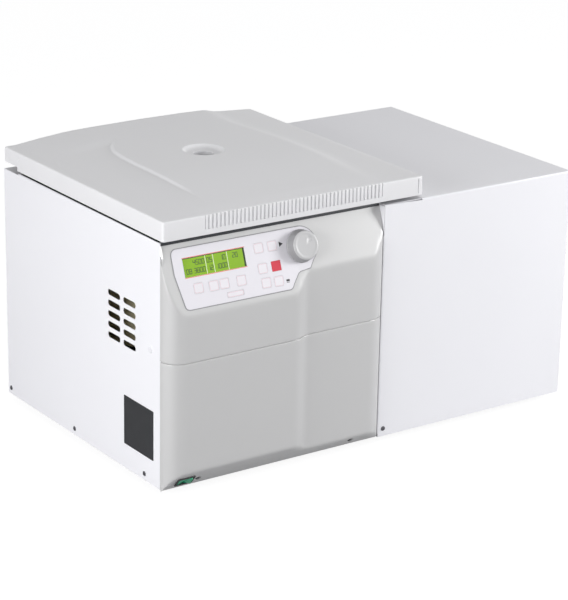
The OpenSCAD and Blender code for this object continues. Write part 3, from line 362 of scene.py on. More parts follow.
def grid_tree():
    """Copies of one piece in columns and rows, as real mesh with one material."""
    tree = bpy.data.node_groups.new("Repeated piece", "GeometryNodeTree")
    sockets = {}
    for name, kind in (("Geometry", "NodeSocketGeometry"), ("Piece", "NodeSocketObject"),
                       ("Columns", "NodeSocketInt"), ("Rows", "NodeSocketInt"),
                       ("Start", "NodeSocketVector"), ("Column Step", "NodeSocketVector"),
                       ("Row Step", "NodeSocketVector"), ("Material", "NodeSocketMaterial")):
        sockets[name] = tree.interface.new_socket(name, in_out="INPUT", socket_type=kind)
    tree.interface.new_socket("Geometry", in_out="OUTPUT", socket_type="NodeSocketGeometry")
    add = tree.nodes.new
    link = tree.links.new
    inputs = add("NodeGroupInput").outputs
    columns = add("GeometryNodeMeshLine")
    rows = add("GeometryNodeMeshLine")
    link(inputs["Columns"], columns.inputs["Count"])
    link(inputs["Start"], columns.inputs["Start Location"])
    link(inputs["Column Step"], columns.inputs["Offset"])
    link(inputs["Rows"], rows.inputs["Count"])
    link(inputs["Row Step"], rows.inputs["Offset"])
    spread = add("GeometryNodeInstanceOnPoints")
    link(columns.outputs["Mesh"], spread.inputs["Points"])
    link(rows.outputs["Mesh"], spread.inputs["Instance"])
    points = add("GeometryNodeRealizeInstances")
    link(spread.outputs["Instances"], points.inputs["Geometry"])
    piece = add("GeometryNodeObjectInfo")
    link(inputs["Piece"], piece.inputs["Object"])
    copies = add("GeometryNodeInstanceOnPoints")
    link(points.outputs["Geometry"], copies.inputs["Points"])
    link(piece.outputs["Geometry"], copies.inputs["Instance"])
    real = add("GeometryNodeRealizeInstances")
    link(copies.outputs["Instances"], real.inputs["Geometry"])
    dress = add("GeometryNodeSetMaterial")
    link(real.outputs["Geometry"], dress.inputs["Geometry"])
    link(inputs["Material"], dress.inputs["Material"])
    link(dress.outputs["Geometry"], add("NodeGroupOutput").inputs["Geometry"])
    return tree, {name: socket.identifier for name, socket in sockets.items()}


GRID, GRID_INPUTS = grid_tree()


def repeated(name, piece, start, material, columns=1, column_step=(0, 0, 0), rows=1, row_step=(0, 0, 0)):
    """Repeats a piece drawn round the origin, in millimetres, and deletes the pattern piece."""
    holder = bpy.data.objects.new(name, bpy.data.meshes.new(name))
    bpy.context.scene.collection.objects.link(holder)
    modifier = holder.modifiers.new("copies", "NODES")
    modifier.node_group = GRID
    values = {"Piece": piece, "Columns": columns, "Rows": rows, "Start": [v * MM for v in start],
              "Column Step": [v * MM for v in column_step], "Row Step": [v * MM for v in row_step],
              "Material": material}
    for key, value in values.items():
        modifier[GRID_INPUTS[key]] = value
    apply_modifiers(holder)
    bpy.data.objects.remove(piece)
    return holder


# Shared shader effects

def group(name, inputs, outputs):
    """A shader group with its named sockets, the values given to it and its results."""
    tree = bpy.data.node_groups.new(name, "ShaderNodeTree")
    for socket, kind, value in inputs:
        made = tree.interface.new_socket(socket, in_out="INPUT", socket_type=kind)
        made.default_value = value
    for socket, kind in outputs:
        tree.interface.new_socket(socket, in_out="OUTPUT", socket_type=kind)
    return tree, tree.nodes.new("NodeGroupInput").outputs, tree.nodes.new("NodeGroupOutput").inputs


def grain_group():
    """Fine surface grain and slow colour patches."""
    tree, given, out = group("Surface grain", [
        ("Grain Scale", "NodeSocketFloat", 900.0), ("Patch Scale", "NodeSocketFloat", 6.0)],
        [("Height", "NodeSocketFloat"), ("Patches", "NodeSocketFloat")])
    place = tree.nodes.new("ShaderNodeTexCoord").outputs["Object"]
    fine = tree.nodes.new("ShaderNodeTexNoise")
    slow = tree.nodes.new("ShaderNodeTexNoise")
    fine.inputs["Detail"].default_value = 2
    slow.inputs["Detail"].default_value = 3
    for noise, scale, result in ((fine, "Grain Scale", "Height"), (slow, "Patch Scale", "Patches")):
        tree.links.new(place, noise.inputs["Vector"])
        tree.links.new(given[scale], noise.inputs["Scale"])
        tree.links.new(noise.outputs["Fac"], out[result])
    return tree


def turned_group():
    """Fine rings left by turning or brushing round an upright axis."""
    tree, given, out = group("Turned rings", [
        ("Centre", "NodeSocketVector", (0, 0, 0)), ("Ring Scale", "NodeSocketFloat", 2500.0)],
        [("Height", "NodeSocketFloat"), ("Shade", "NodeSocketFloat")])
    add = tree.nodes.new
    link = tree.links.new
    move = add("ShaderNodeVectorMath")
    move.operation = "SUBTRACT"
    link(add("ShaderNodeTexCoord").outputs["Object"], move.inputs[0])
    link(given["Centre"], move.inputs[1])
    split = add("ShaderNodeSeparateXYZ")
    link(move.outputs[0], split.inputs[0])
    flat = add("ShaderNodeCombineXYZ")
    link(split.outputs["X"], flat.inputs["X"])
    link(split.outputs["Y"], flat.inputs["Y"])
    length = add("ShaderNodeVectorMath")
    length.operation = "LENGTH"
    link(flat.outputs[0], length.inputs[0])
    ring = add("ShaderNodeCombineXYZ")
    link(length.outputs["Value"], ring.inputs["X"])
    link(split.outputs["Z"], ring.inputs["Y"])
    noise = add("ShaderNodeTexNoise")
    link(ring.outputs[0], noise.inputs["Vector"])
    link(given["Ring Scale"], noise.inputs["Scale"])
    link(noise.outputs["Fac"], out["Height"])
    link(noise.outputs["Fac"], out["Shade"])
    return tree


def edge_group():
    """Mask of outer edges, where paint or plating is rubbed."""
    tree, given, out = group("Rubbed edges", [
        ("Start", "NodeSocketFloat", 0.52), ("End", "NodeSocketFloat", 0.6)], [("Mask", "NodeSocketFloat")])
    ramp = tree.nodes.new("ShaderNodeMapRange")
    tree.links.new(tree.nodes.new("ShaderNodeNewGeometry").outputs["Pointiness"], ramp.inputs["Value"])
    tree.links.new(given["Start"], ramp.inputs["From Min"])
    tree.links.new(given["End"], ramp.inputs["From Max"])
    tree.links.new(ramp.outputs["Result"], out["Mask"])
    return tree


GRAIN = grain_group()
TURNED = turned_group()
EDGES = edge_group()


ROUGH_SPREAD = 0.12


def srgb(r, g, b):
    """A colour as seen on a screen, from 0 to 255, as the shader's linear value."""
    def linear(c):
        c /= 255
        return c / 12.92 if c <= 0.04045 else ((c + 0.055) / 1.055) ** 2.4
    return (linear(r), linear(g), linear(b), 1)


def finish(name, colour, rough, grain=(900, 0.02), patch=(6, 0.03), turned=None, rubbed=None, **sockets):
    """A material: colour patches, grain or turned rings in the height, rubbed edges, and fixed sockets."""
    material = bpy.data.materials.new(name)
    material.use_nodes = True
    nodes = material.node_tree.nodes
    link = material.node_tree.links.new
    surface = nodes["Principled BSDF"]
    for key, value in sockets.items():
        surface.inputs[key.replace("_", " ")].default_value = value
    source = nodes.new("ShaderNodeGroup")
    if turned:
        source.node_tree = TURNED
        source.inputs["Centre"].default_value = [v * MM for v in turned]
        source.inputs["Ring Scale"].default_value = grain[0]
        shade_out = source.outputs["Shade"]
    else:
        source.node_tree = GRAIN
        source.inputs["Grain Scale"].default_value = grain[0]
        source.inputs["Patch Scale"].default_value = patch[0]
        shade_out = source.outputs["Patches"]
    mix = nodes.new("ShaderNodeMix")
    mix.data_type = "RGBA"
    mix.inputs[6].default_value = [c * (1 - patch[1]) for c in colour[:3]] + [1]
    mix.inputs[7].default_value = [c * (1 + patch[1]) for c in colour[:3]] + [1]
    link(shade_out, mix.inputs[0])
    result = mix.outputs[2]
    if rubbed:
        edges = nodes.new("ShaderNodeGroup")
        edges.node_tree = EDGES
        wear = nodes.new("ShaderNodeMix")
        wear.data_type = "RGBA"
        wear.inputs[7].default_value = rubbed
        link(edges.outputs["Mask"], wear.inputs[0])
        link(result, wear.inputs[6])
        result = wear.outputs[2]
    link(result, surface.inputs["Base Color"])
    spread = nodes.new("ShaderNodeMapRange")
    spread.inputs["To Min"].default_value = rough * (1 - ROUGH_SPREAD)
    spread.inputs["To Max"].default_value = min(1, rough * (1 + ROUGH_SPREAD))
    link(shade_out, spread.inputs["Value"])
    link(spread.outputs["Result"], surface.inputs["Roughness"])
    bump = nodes.new("ShaderNodeBump")
    bump.inputs["Strength"].default_value = 1
    bump.inputs["Distance"].default_value = grain[1] * MM
    link(source.outputs["Height"], bump.inputs["Height"])
    link(bump.outputs["Normal"], surface.inputs["Normal"])
    return material


AXIS = (CHAMBER[0], CHAMBER[1], 0)
PANEL_WHITE = finish("powder coat white", srgb(239, 239, 243), 0.42, (1400, 0.025), (5, 0.01))
PLUG_WHITE = finish("release plug moulding", srgb(232, 232, 236), 0.4, (2200, 0.02), (20, 0.01))
DECK_GREY = finish("deck coat", srgb(205, 205, 209), 0.42, (1400, 0.025), (5, 0.01))
FASCIA_GREY = finish("fascia moulding", srgb(198, 198, 198), 0.38, (2200, 0.02), (7, 0.01),
                     Coat_Weight=1.0, Coat_Roughness=0.3, Coat_IOR=1.6)
LID_GREY = finish("lid moulding", srgb(229, 229, 231), 0.40, (2200, 0.02), (6, 0.01))
LID_RIB = finish("lid rib moulding", srgb(231, 231, 233), 0.40, (2200, 0.02), (6, 0.01))
OVERLAY_WHITE = finish("overlay film", srgb(232, 230, 236), 0.33, (1800, 0.006), (9, 0.006))
OVERLAY_EDGE = finish("overlay edge", srgb(150, 150, 153), 0.45, (1800, 0.006), (9, 0.02))
KEY_WHITE = finish("key film", srgb(235, 232, 237), 0.35, (1800, 0.006), (60, 0.006))
KEY_LINE = finish("key outline print", srgb(226, 178, 190), 0.45, (1800, 0.004), (80, 0.04))
STOP_RED = finish("stop key film", srgb(210, 42, 64), 0.35, (1800, 0.006), (60, 0.03))
PRINT_RED = finish("display line print", srgb(235, 110, 80), 0.45, (1800, 0.004), (80, 0.03))
PRINT_BLACK = finish("black print", srgb(30, 30, 34), 0.45, (1800, 0.004), (80, 0.05))
PRINT_PALE = finish("display divider print", srgb(235, 245, 205), 0.45, (1800, 0.004), (80, 0.02))
DISPLAY_GREEN = finish("display panel", srgb(138, 184, 18), 0.22, (900, 0.002), (40, 0.05), Coat_Weight=0.25)
SEGMENT = finish("display segment", srgb(38, 64, 16), 0.35, (900, 0.002), (40, 0.05))
KNOB_GREY = finish("knob moulding", srgb(193, 193, 194), 0.36, (2200, 0.015), (18, 0.015))
# The knob moulding made darker for the knob's sides: painted shade
KNOB_PAINTED_SHADE = finish("knob side painted shade", srgb(150, 150, 152), 0.42, (2200, 0.015), (18, 0.015))
SWITCH_BLACK = finish("switch moulding", srgb(44, 44, 46), 0.4, (2200, 0.02), (30, 0.05))
ROCKER_GREEN = finish("rocker lens", srgb(14, 150, 108), 0.2, (900, 0.004), (60, 0.06),
                      Coat_Weight=0.5, Subsurface_Weight=0.1, Emission_Color=srgb(10, 128, 92),
                      Emission_Strength=0.12)
PLATE_BLACK = finish("plate film", srgb(34, 35, 38), 0.5, (1800, 0.01), (40, 0.06))
SCREW = finish("blackened screw", srgb(112, 112, 116), 0.35, (3000, 0.01), (90, 0.1), Metallic=0.9)
# The screw finish made darker for the screws in the fascia's wells: painted shade of the recesses
SCREW_PAINTED_SHADE = finish("recessed screw painted shade", srgb(70, 70, 74), 0.45, (3000, 0.01), (90, 0.1), Metallic=0.8)
RUBBER = finish("black rubber", srgb(38, 38, 39), 0.75, (1500, 0.04), (30, 0.08))
BOWL = finish("brushed bowl", srgb(214, 216, 219), 0.3, (2600, 0.02), (6, 0.05), turned=AXIS, Metallic=1.0)
TURNED_STEEL = finish("turned steel", srgb(200, 202, 206), 0.26, (3000, 0.015), (6, 0.06), turned=AXIS,
                      Metallic=1.0)
ROTOR_ALLOY = finish("anodised rotor", srgb(148, 151, 156), 0.34, (2600, 0.02), (8, 0.05), turned=AXIS,
                     rubbed=srgb(196, 198, 202), Metallic=0.9)
NUT_BLACK = finish("nut moulding", srgb(42, 42, 45), 0.42, (2200, 0.02), (30, 0.05))
ZINC = finish("zinc sheet", srgb(186, 189, 193), 0.4, (260, 0.02), (40, 0.08),
              rubbed=srgb(214, 216, 220), Metallic=0.8)
PLATED = finish("plated steel", srgb(196, 198, 203), 0.28, (900, 0.01), (30, 0.05),
                rubbed=srgb(226, 228, 230), Metallic=1.0)
FOAM = finish("foam", srgb(238, 228, 190), 0.9, (420, 0.3), (30, 0.05))
COPPER = finish("copper tube", srgb(196, 122, 76), 0.32, (600, 0.02), (20, 0.1),
                rubbed=srgb(226, 160, 112), Metallic=1.0)
CASTING = finish("painted casting", srgb(82, 86, 92), 0.5, (500, 0.08), (20, 0.06),
                 rubbed=srgb(126, 130, 136))
ENAMEL = finish("black enamel", srgb(28, 28, 30), 0.28, (900, 0.01), (10, 0.06), Coat_Weight=0.4)
FINS = finish("fin stock", srgb(196, 199, 204), 0.38, (1200, 0.03), (30, 0.05), Metallic=0.9)
FAN_BLACK = finish("fan moulding", srgb(58, 60, 64), 0.45, (2200, 0.02), (20, 0.05))
BOARD_GREEN = finish("circuit board", srgb(26, 104, 66), 0.38, (900, 0.02), (60, 0.12))
LINER = finish("liner sheet", srgb(212, 214, 218), 0.36, (700, 0.015), (12, 0.03), Metallic=0.75)
CLEAR = finish("clear plug", srgb(236, 244, 246), 0.06, (900, 0.001), (30, 0.01),
               Transmission_Weight=0.92, IOR=1.49)


# Every piece is dressed and handed to the frame in one way

def dress(obj, material):
    """The piece gets one material."""
    obj.data.materials.clear()
    obj.data.materials.append(material)
    return obj


def keep(obj, material, slot, body="housing", *nodes):
    """The piece gets its material, rides on its body and stands for these CAD nodes. The slot is not used."""
    if material is not None:
        dress(obj, material)
    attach(obj, body)
    if nodes:
        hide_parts(*nodes)
    return obj


def keep_node(node, material):
    """A CAD node that stays, with a better material."""
    dress(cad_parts[node], material)


# Fascia: rows of one plan, laid back by the leaning face and by the undercut

FASCIA_T = 3
FASCIA_BACK = 20
FASCIA_ROW = 3
FASCIA_EDGE = 0.7
FASCIA_SMOOTH = 50
SEAM_GAP = 1
SEAM_LIP = 0.85
STRIP_UP = 5
CUT_REACH = 9

# Places on the undercut, and sizes of the switch as width and height
SCREW_WELLS = ((54, 12.5), (315, 10.5))
WELL_R = 4.8
WELL_DEEP = 2.2
SWITCH_CUT = (25.8, 14.4)
SWITCH_RIM = (29, 17.5)
SWITCH_BODY = (25.4, 13.9)
SWITCH_OPENING = (24.4, 12.7)
SWITCH_FLOOR = (25.2, 13.6)
SWITCH_DEEP = 20


def soften(ring, radius, steps=4):
    """Rounds the corners of an open line."""
    result = [ring[0]]
    for before, corner, after in zip(ring, ring[1:], ring[2:]):
        a, c, b = Vector(before), Vector(corner), Vector(after)
        reach = min(radius, (a - c).length * 0.45, (b - c).length * 0.45)
        p = c + (a - c).normalized() * reach
        q = c + (b - c).normalized() * reach
        for i in range(steps + 1):
            t = i / steps
            result.append(tuple(p * (1 - t) ** 2 + c * 2 * t * (1 - t) + q * t * t))
    return result + [ring[-1]]


def fascia_line():
    """The fascia's front in plan, from its left back edge to its right back edge."""
    tuck = [(2, FASCIA_BACK), (2, 7.6), (0.5, 7.55)]
    corner = arc(CORNER_R, CORNER_R - PROUD, CORNER_R, 181.5, 270, 24)
    front = [(x, -PROUD) for x in (CORNER_R, 60, 110, 160, STEP_X)]
    front += [(x, -STEP) for x in (STEP_X + BEVEL_W, 280, FASCIA_W - BEVEL_W)]
    front += [(FASCIA_W, 0), (FASCIA_W, FASCIA_BACK)]
    return tuck + corner[:-1] + soften(front, 7)


def fascia_rows(low, high, lip):
    """Heights and set-backs up a fascia half, with round edges and a lip behind the seam."""
    turns = [math.pi / 2 * step / 4 for step in range(5)]
    edge = [(FASCIA_EDGE * (1 - math.cos(turn)), FASCIA_EDGE * (1 - math.sin(turn))) for turn in turns]
    rows = [(low + rise, pull) for rise, pull in edge]
    z = low + FASCIA_ROW
    while z < high - 2:
        rows.append((z, 0))
        z += FASCIA_ROW
    rows += [(high - drop, pull) for pull, drop in edge]
    if lip:
        rows += [(high, FASCIA_T / 2), (high + lip, FASCIA_T / 2)]
    return rows


def smooth_max(a, b, k):
    """The larger of two values, with a soft change."""
    h = max(k - abs(a - b), 0) / k
    return max(a, b) + h * h * k / 4


def fascia_shell(name, low, high, lip=0.0):
    """A fascia half between two heights above the housing's lower edge."""
    line = fascia_line()
    rows = fascia_rows(low, high, lip)
    vertices = []
    for z, pull in rows:
        lean = -PROUD + (z - LEAN_H) * math.tan(LEAN)
        under = UNDER_BACK - z / math.tan(UNDER)
        for x, y in line:
            y = smooth_max(smooth_max(y, lean, 1.6), under, 0.8)
            inward = pull * max(0, 1 - x / CORNER_R)
            outward = pull * max(0, 1 - (FASCIA_W - x) / 6)
            place = (LEFT_X + x + inward - outward, FRONT_Y + min(y + pull, FASCIA_BACK), SILL_Z + z)
            vertices.append(place)
    count = len(line)
    faces = []
    for level in range(len(rows) - 1):
        for i in range(count - 1):
            a = level * count + i
            faces.append((a, a + 1, a + 1 + count, a + count))
    shell = new_object(name, vertices, faces)
    return modified(shell, "SOLIDIFY", thickness=FASCIA_T * MM, offset=-1, use_even_offset=False)


def build_upper_fascia():
    """The half with the control face, open for the display and the knob's shaft."""
    upper = fascia_shell("upper_fascia_moulding", SEAM_H + SEAM_GAP / 2, HOUSING_H - DECK_T - DECK_GAP)
    x, up, w, h = LCD
    window = block("window_cut", (x, up, -CUT_REACH), (x + w, up + h, CUT_REACH), face_matrix())
    shaft = prism("knob_cut", circle(*KNOB, 5, 32), 20, face_matrix(out=-10))
    cut(upper, window, shaft)
    shade(upper, FASCIA_SMOOTH)
    keep(upper, FASCIA_GREY, "fascia_plastic", "housing", "upper_fascia")


def build_lower_fascia():
    """The half with the undercut, open for the switch and with two screw wells."""
    lower = fascia_shell("lower_fascia_moulding", 0, SEAM_H - SEAM_GAP / 2, SEAM_LIP)
    w, h = SWITCH_CUT
    seat = under_matrix(*SWITCH)
    cut(lower, block("switch_cut", (-w / 2, -h / 2, -CUT_REACH), (w / 2, h / 2, CUT_REACH), seat))
    profile = [(0, 6), (WELL_R, 6), (WELL_R, -WELL_DEEP), (0, -WELL_DEEP)]
    for x, up in SCREW_WELLS:
        cut(lower, lathe("screw_well_cut", profile, under_matrix(x, up), 32))
    shade(lower, FASCIA_SMOOTH)
    keep(lower, FASCIA_GREY, "fascia_plastic", "housing", "lower_fascia")


def build_fascia_shadow_and_seams():
    """A black strip of painted shadow under the deck's edge, and white strips beside the left panel and the
    cabinet.
    """
    back = FRONT_Y - PROUD + (HOUSING_H - LEAN_H) * math.tan(LEAN)
    # A black strip in the gap under the lid's front edge, standing in for the shadow there: painted shadow
    shadow_strip = block("fascia_top_seal", (LEFT_X + 2.2, back - 1.2, DECK_Z - 4.4),
                 (FASCIA_RIGHT_X - 0.6, back + 0.2, DECK_Z + 0.1), edge=0.3, segments=2)
    keep(shadow_strip, FAN_BLACK, "seal_rubber")
    left = block("left_seam_strip", (LEFT_X + 0.7, FRONT_Y + 7.1, SILL_Z + STRIP_UP),
                 (LEFT_X + 1.3, FRONT_Y + 8.9, DECK_Z - 20))
    right = block("right_seam_strip", (FASCIA_RIGHT_X - 0.6, FRONT_Y + 0.25, SILL_Z + STRIP_UP),
                  (FASCIA_RIGHT_X + 0.9, FRONT_Y + 2.4, SILL_Z + LEAN_H + 52))
    keep(joined("fascia_seam_strips", left, right), PANEL_WHITE, "fascia_plastic")


def screw_profile(radius, height):
    """A pan head, from its seat up."""
    shape = ((0, 0), (0.96, 0), (1, 0.25), (0.93, 0.62), (0.72, 0.9), (0.4, 1), (0.3, 0.55), (0, 0.5))
    return [(radius * across, height * up) for across, up in shape]


def build_fascia_screws():
    """The screws at the bottom of the wells, in a darker finish as painted shade of the wells."""
    screws = [lathe("fascia_screw", screw_profile(3.7, 1.2), under_matrix(x, up, -2), 32)
              for x, up in SCREW_WELLS]
    keep(joined("fascia_screws", *screws), SCREW_PAINTED_SHADE, "screw_steel")


# Control face

OVERLAY_T = 0.8
OVERLAY_LEFT = 18
OVERLAY_LOW = 8.5
OVERLAY_TOP = 91.5
INK_SINK = 0.01

# Centres of the keys on the leaning face
KEYS = {
    "precool": (155.5, 72.5), "start": (177.8, 72), "brake": (156.7, 44), "stop": (179, 44),
    "lid": (158.4, 23.7), "pulse": (179.1, 22.7), "speed": (51, 35), "time": (75.2, 34.2),
    "rotor": (92, 34.2), "temperature": (119.7, 33.7), "program": (106.9, 17.8),
}

# Width, height and corner radius
KEY_SIZE = (15, 14, 2)
OTHER_KEY_SIZES = {"program": (27, 7.5, 3.4), "stop": (15, 14, 0.8)}
KEY_T = 1.45
KEY_RISE = 0.05
KEY_GAP = 0.3
KEY_LINE_W = 0.35
KEY_LINE_IN = 0.75


def overlay_ring(grow=0.0):
    """Outline of the overlay: a wide panel with a round end for the knob."""
    left, low, top = OVERLAY_LEFT, OVERLAY_LOW, OVERLAY_TOP
    kx, ky = KNOB
    neck = [(STEP_X + 2, low + 16), (STEP_X + 4.5, low + 19.5), (STEP_X + 9, low + 22), (kx + 10, low + 24)]
    ring = [(left + 16, low), (STEP_X - 18, low)] + arc(STEP_X - 13, low + 7, 7, 270, 345, 6) + neck
    ring += arc(kx, ky, top - ky, -50, 90, 24) + arc(left + 8, top - 8, 8, 90, 180, 8)
    ring += [(left, top - 34)] + arc(left + 15, low + 7, 7, 200, 270, 6)
    return inset_ring(ring, -grow) if grow else ring


def build_overlay():
    """The film, open for the display, the knob's shaft and each key, with a darker rim."""
    holes = [box_ring(*LCD), circle(*KNOB, 4.8, 32)]
    for name, (x, up) in KEYS.items():
        w, h, r = OTHER_KEY_SIZES.get(name, KEY_SIZE)
        holes.append(rounded(w + 2 * KEY_GAP, h + 2 * KEY_GAP, min(r + KEY_GAP, h / 3), x, up))
    film = plate("control_overlay_film", overlay_ring(), OVERLAY_T, holes, 0.25, 2, face_matrix())
    keep(film, OVERLAY_WHITE, "overlay_film", "housing", "control_overlay")
    rim = plate("control_overlay_rim", overlay_ring(1.3), 0.55, [overlay_ring(0.02)], 0.2, 2, face_matrix())
    keep(rim, OVERLAY_EDGE, "overlay_film")


def printed(name, ring, out, holes=(), thickness=0.05):
    """A thin printed shape on the control face."""
    return plate(name, ring, thickness, holes, 0.01, 1, face_matrix(out=out))


def build_key(name, x, up):
    """A cap of film on a stem, with a printed outline on all but the stop key."""
    w, h, r = OTHER_KEY_SIZES.get(name, KEY_SIZE)
    node = f"{name}_key"
    seat = OVERLAY_T + KEY_RISE - KEY_T
    cap = plate(f"{node}_cap", rounded(w, h, r, x, up), KEY_T, (), 0.22, 3, face_matrix(out=seat))
    stem = lathe("stem", [(0, -5), (1.9, -5), (1.9, 0.3), (0, 0.3)], face_matrix(x, up, seat), 24)
    cap = joined(f"{node}_cap", cap, stem)
    if name == "stop":
        keep(cap, STOP_RED, "stop_film", node, node)
        return
    keep(cap, KEY_WHITE, "key_film", node, node)
    w -= 2 * KEY_LINE_IN
    h -= 2 * KEY_LINE_IN
    inner = rounded(w - 2 * KEY_LINE_W, h - 2 * KEY_LINE_W, max(r - 0.7, 0.8), x, up)
    outline = printed(f"{node}_outline", rounded(w, h, max(r - 0.4, 1), x, up),
                      OVERLAY_T + KEY_RISE - INK_SINK, [inner], 0.04)
    keep(outline, KEY_LINE, "key_film", node)


def build_marks():
    """A triangle beside the start key, a small closed lid beside the lid keys, and the display's lines."""
    out = OVERLAY_T - INK_SINK
    marks = [printed("start_mark", [(189.4, 68.7), (195.6, 72.4), (189.4, 76.1)], out),
             printed("lid_mark", rounded(5.6, 3, 0.8, 193.8, 21.4), out),
             printed("lid_mark_line", rounded(5.6, 0.7, 0.3, 193.8, 18.6), out)]
    keep(joined("control_marks", *marks), PRINT_BLACK, "overlay_film")
    x, up, w, h = LCD
    lines = [printed("line", box_ring(x - 0.6, y, w + 1.2, 0.8), out) for y in (up + h + 0.2, up - 1)]
    keep(joined("display_lines", *lines), PRINT_RED, "overlay_film")


# Display

PANE_OUT = -0.8
DIVIDER_XS = (69.8, 82.2, 104.7)
UPPER_ROW = 66.6
LOWER_ROW = 55.6

# Numbers with the lower left corner of their first digit
NUMBERS = (
    ("4500", 50.2, UPPER_ROW), ("3800", 50.2, LOWER_ROW), ("05", 72.2, UPPER_ROW), ("12", 72.2, LOWER_ROW),
    ("10", 93.6, UPPER_ROW), ("1000", 85.2, LOWER_ROW), ("20", 113.4, UPPER_ROW), ("08", 38, LOWER_ROW),
)
DIGIT_W = 3.2
DIGIT_H = 6.4
DIGIT_GAP = 1.5
BAR_W = 0.86

# Ends of the seven bars, as shares of a digit's width and height
BARS = {
    "a": ((0.12, 1), (0.88, 1)), "b": ((1, 0.55), (1, 0.95)), "c": ((1, 0.05), (1, 0.45)),
    "d": ((0.12, 0), (0.88, 0)), "e": ((0, 0.05), (0, 0.45)), "f": ((0, 0.55), (0, 0.95)),
    "g": ((0.12, 0.5), (0.88, 0.5)),
}
DIGITS = {"0": "abcdef", "1": "bc", "2": "abged", "3": "abgcd", "4": "fgbc", "5": "afgcd", "6": "afgedc",
          "7": "abc", "8": "abcdefg", "9": "abcdfg"}


def on_pane(x0, y0, x1, y1, height):
    """A low block on the display's pane."""
    return block("ink", (x0, y0, PANE_OUT - 0.02), (x1, y1, PANE_OUT + height), face_matrix())


def number_bars(text, x, y):
    """Bars of plain seven segment numbers."""
    bars = []
    for digit in text:
        for bar in DIGITS[digit]:
            (ax, ay), (bx, by) = BARS[bar]
            bars.append(on_pane(x + ax * DIGIT_W - BAR_W / 2, y + ay * DIGIT_H - BAR_W / 2,
                                x + bx * DIGIT_W + BAR_W / 2, y + by * DIGIT_H + BAR_W / 2, 0.03))
        x += DIGIT_W + DIGIT_GAP
    return bars


def build_display():
    """The pane with dividers, numbers, and dark strips along its right and top edges as a painted shadow of
    its frame.
    """
    x, up, w, h = LCD
    right = x + w
    top = up + h
    pane = block("display_pane", (x - 0.9, up - 0.9, PANE_OUT - 1.2), (right + 0.9, top + 0.9, PANE_OUT),
                 face_matrix(), 0.1, 1)
    keep(pane, DISPLAY_GREEN, "display_glass", "housing", "display_window")
    dividers = [on_pane(place - 0.45, up + 0.2, place + 0.45, top - 0.2, 0.04) for place in DIVIDER_XS]
    keep(joined("display_dividers", *dividers), PRINT_PALE, "display_glass")
    bars = [bar for number in NUMBERS for bar in number_bars(*number)]
    keep(joined("display_digits", *bars), SEGMENT, "display_glass")
    # Dark strips along the pane's right and top edges: a painted shadow of the frame
    shadow_strips = [on_pane(right - 2.4, up, right - 0.05, top, 0.1),
             on_pane(x + 0.05, top - 1, right - 2.4, top - 0.05, 0.1)]
    keep(joined("display_frame_sides", *shadow_strips), SEGMENT, "display_glass")


# Knob and switch

KNOB_LIFT = OVERLAY_T + 0.5
KNOB_SIDE_R = 22.9
KNOB_SIDE_LOW = 3
KNOB_SIDE_H = 8.6
KNOB_ROUND = 2.9
KNOB_SMOOTH = 28
DIMPLE_R = 12


def build_knob():
    """A tapering knob with a foot ring, a rounded edge, a shallow face and a finger dimple, with painted
    shade on its sides.
    """
    profile = [(0, 0), (23.2, 0), (23.5, 0.4), (23.5, 1.4), (23.2, 1.9), (KNOB_SIDE_R, KNOB_SIDE_LOW)]
    for t in (0.33, 0.66, 1):
        profile.append((KNOB_SIDE_R - 1.6 * t - 0.5 * t * t, KNOB_SIDE_LOW + KNOB_SIDE_H * t))
    face_r = profile[-1][0] - KNOB_ROUND
    profile += arc(face_r, KNOB_SIDE_LOW + KNOB_SIDE_H, KNOB_ROUND, 8, 90, 8)
    profile += [(face_r - 1.4, 14.44), (face_r - 2.4, 14.2), (face_r - 4, 14.12), (0, 14.3)]
    knob = lathe("control_knob_cap", profile, face_matrix(*KNOB, KNOB_LIFT), 128, KNOB_SMOOTH)
    ball = [(0, -DIMPLE_R)] + arc(0, 0, DIMPLE_R, -84, 84, 22) + [(0, DIMPLE_R)]
    cut(knob, lathe("dimple", ball, face_matrix(KNOB[0] + 7, KNOB[1] + 8, KNOB_LIFT + 25.2), 48))
    shade(knob, KNOB_SMOOTH)
    stem_top = KNOB_LIFT + 0.5
    stem = lathe("knob_stem", [(0, -6), (2.95, -6), (2.95, stem_top), (0, stem_top)], face_matrix(*KNOB), 32)
    knob = joined("control_knob_cap", knob, stem)
    keep(knob, KNOB_GREY, "knob_plastic", "knob", "control_knob")
    # Faces that turn away from the control face get the darker copy: painted shade on the knob's sides
    knob.data.materials.append(KNOB_PAINTED_SHADE)
    out = face_matrix().to_3x3() @ Vector((0, 0, 1))
    for face in knob.data.polygons:
        face.material_index = 1 if face.normal.dot(out) < 0.45 else 0
    keep_node("knob_encoder", SWITCH_BLACK)


def build_switch():
    """A rim on the undercut, a hollow body behind it with a floor, and the rocker's lens."""
    opening = rounded(*SWITCH_OPENING, 0.3)
    seat = under_matrix(*SWITCH)
    rim = plate("power_switch_rim", rounded(*SWITCH_RIM, 1.4), 1.6, [opening], 0.5, 3, seat)
    shell = plate("power_switch_body", rounded(*SWITCH_BODY, 0.4), SWITCH_DEEP, [opening], 0.05, 1,
                  under_matrix(*SWITCH, -SWITCH_DEEP))
    w, h = SWITCH_FLOOR
    floor = block("power_switch_floor", (-w / 2, -h / 2, -SWITCH_DEEP), (w / 2, h / 2, -9), seat, 0.2, 1)
    switch = joined("power_switch_housing", rim, shell, floor)
    keep(switch, SWITCH_BLACK, "switch_black", "housing", "switch_housing")
    rocker = node_copy("power_rocker_lens", "power_rocker", 0.35, smooth=40)
    keep(rocker, ROCKER_GREEN, "rocker_green", "rocker", "power_rocker")


# Sheet metal

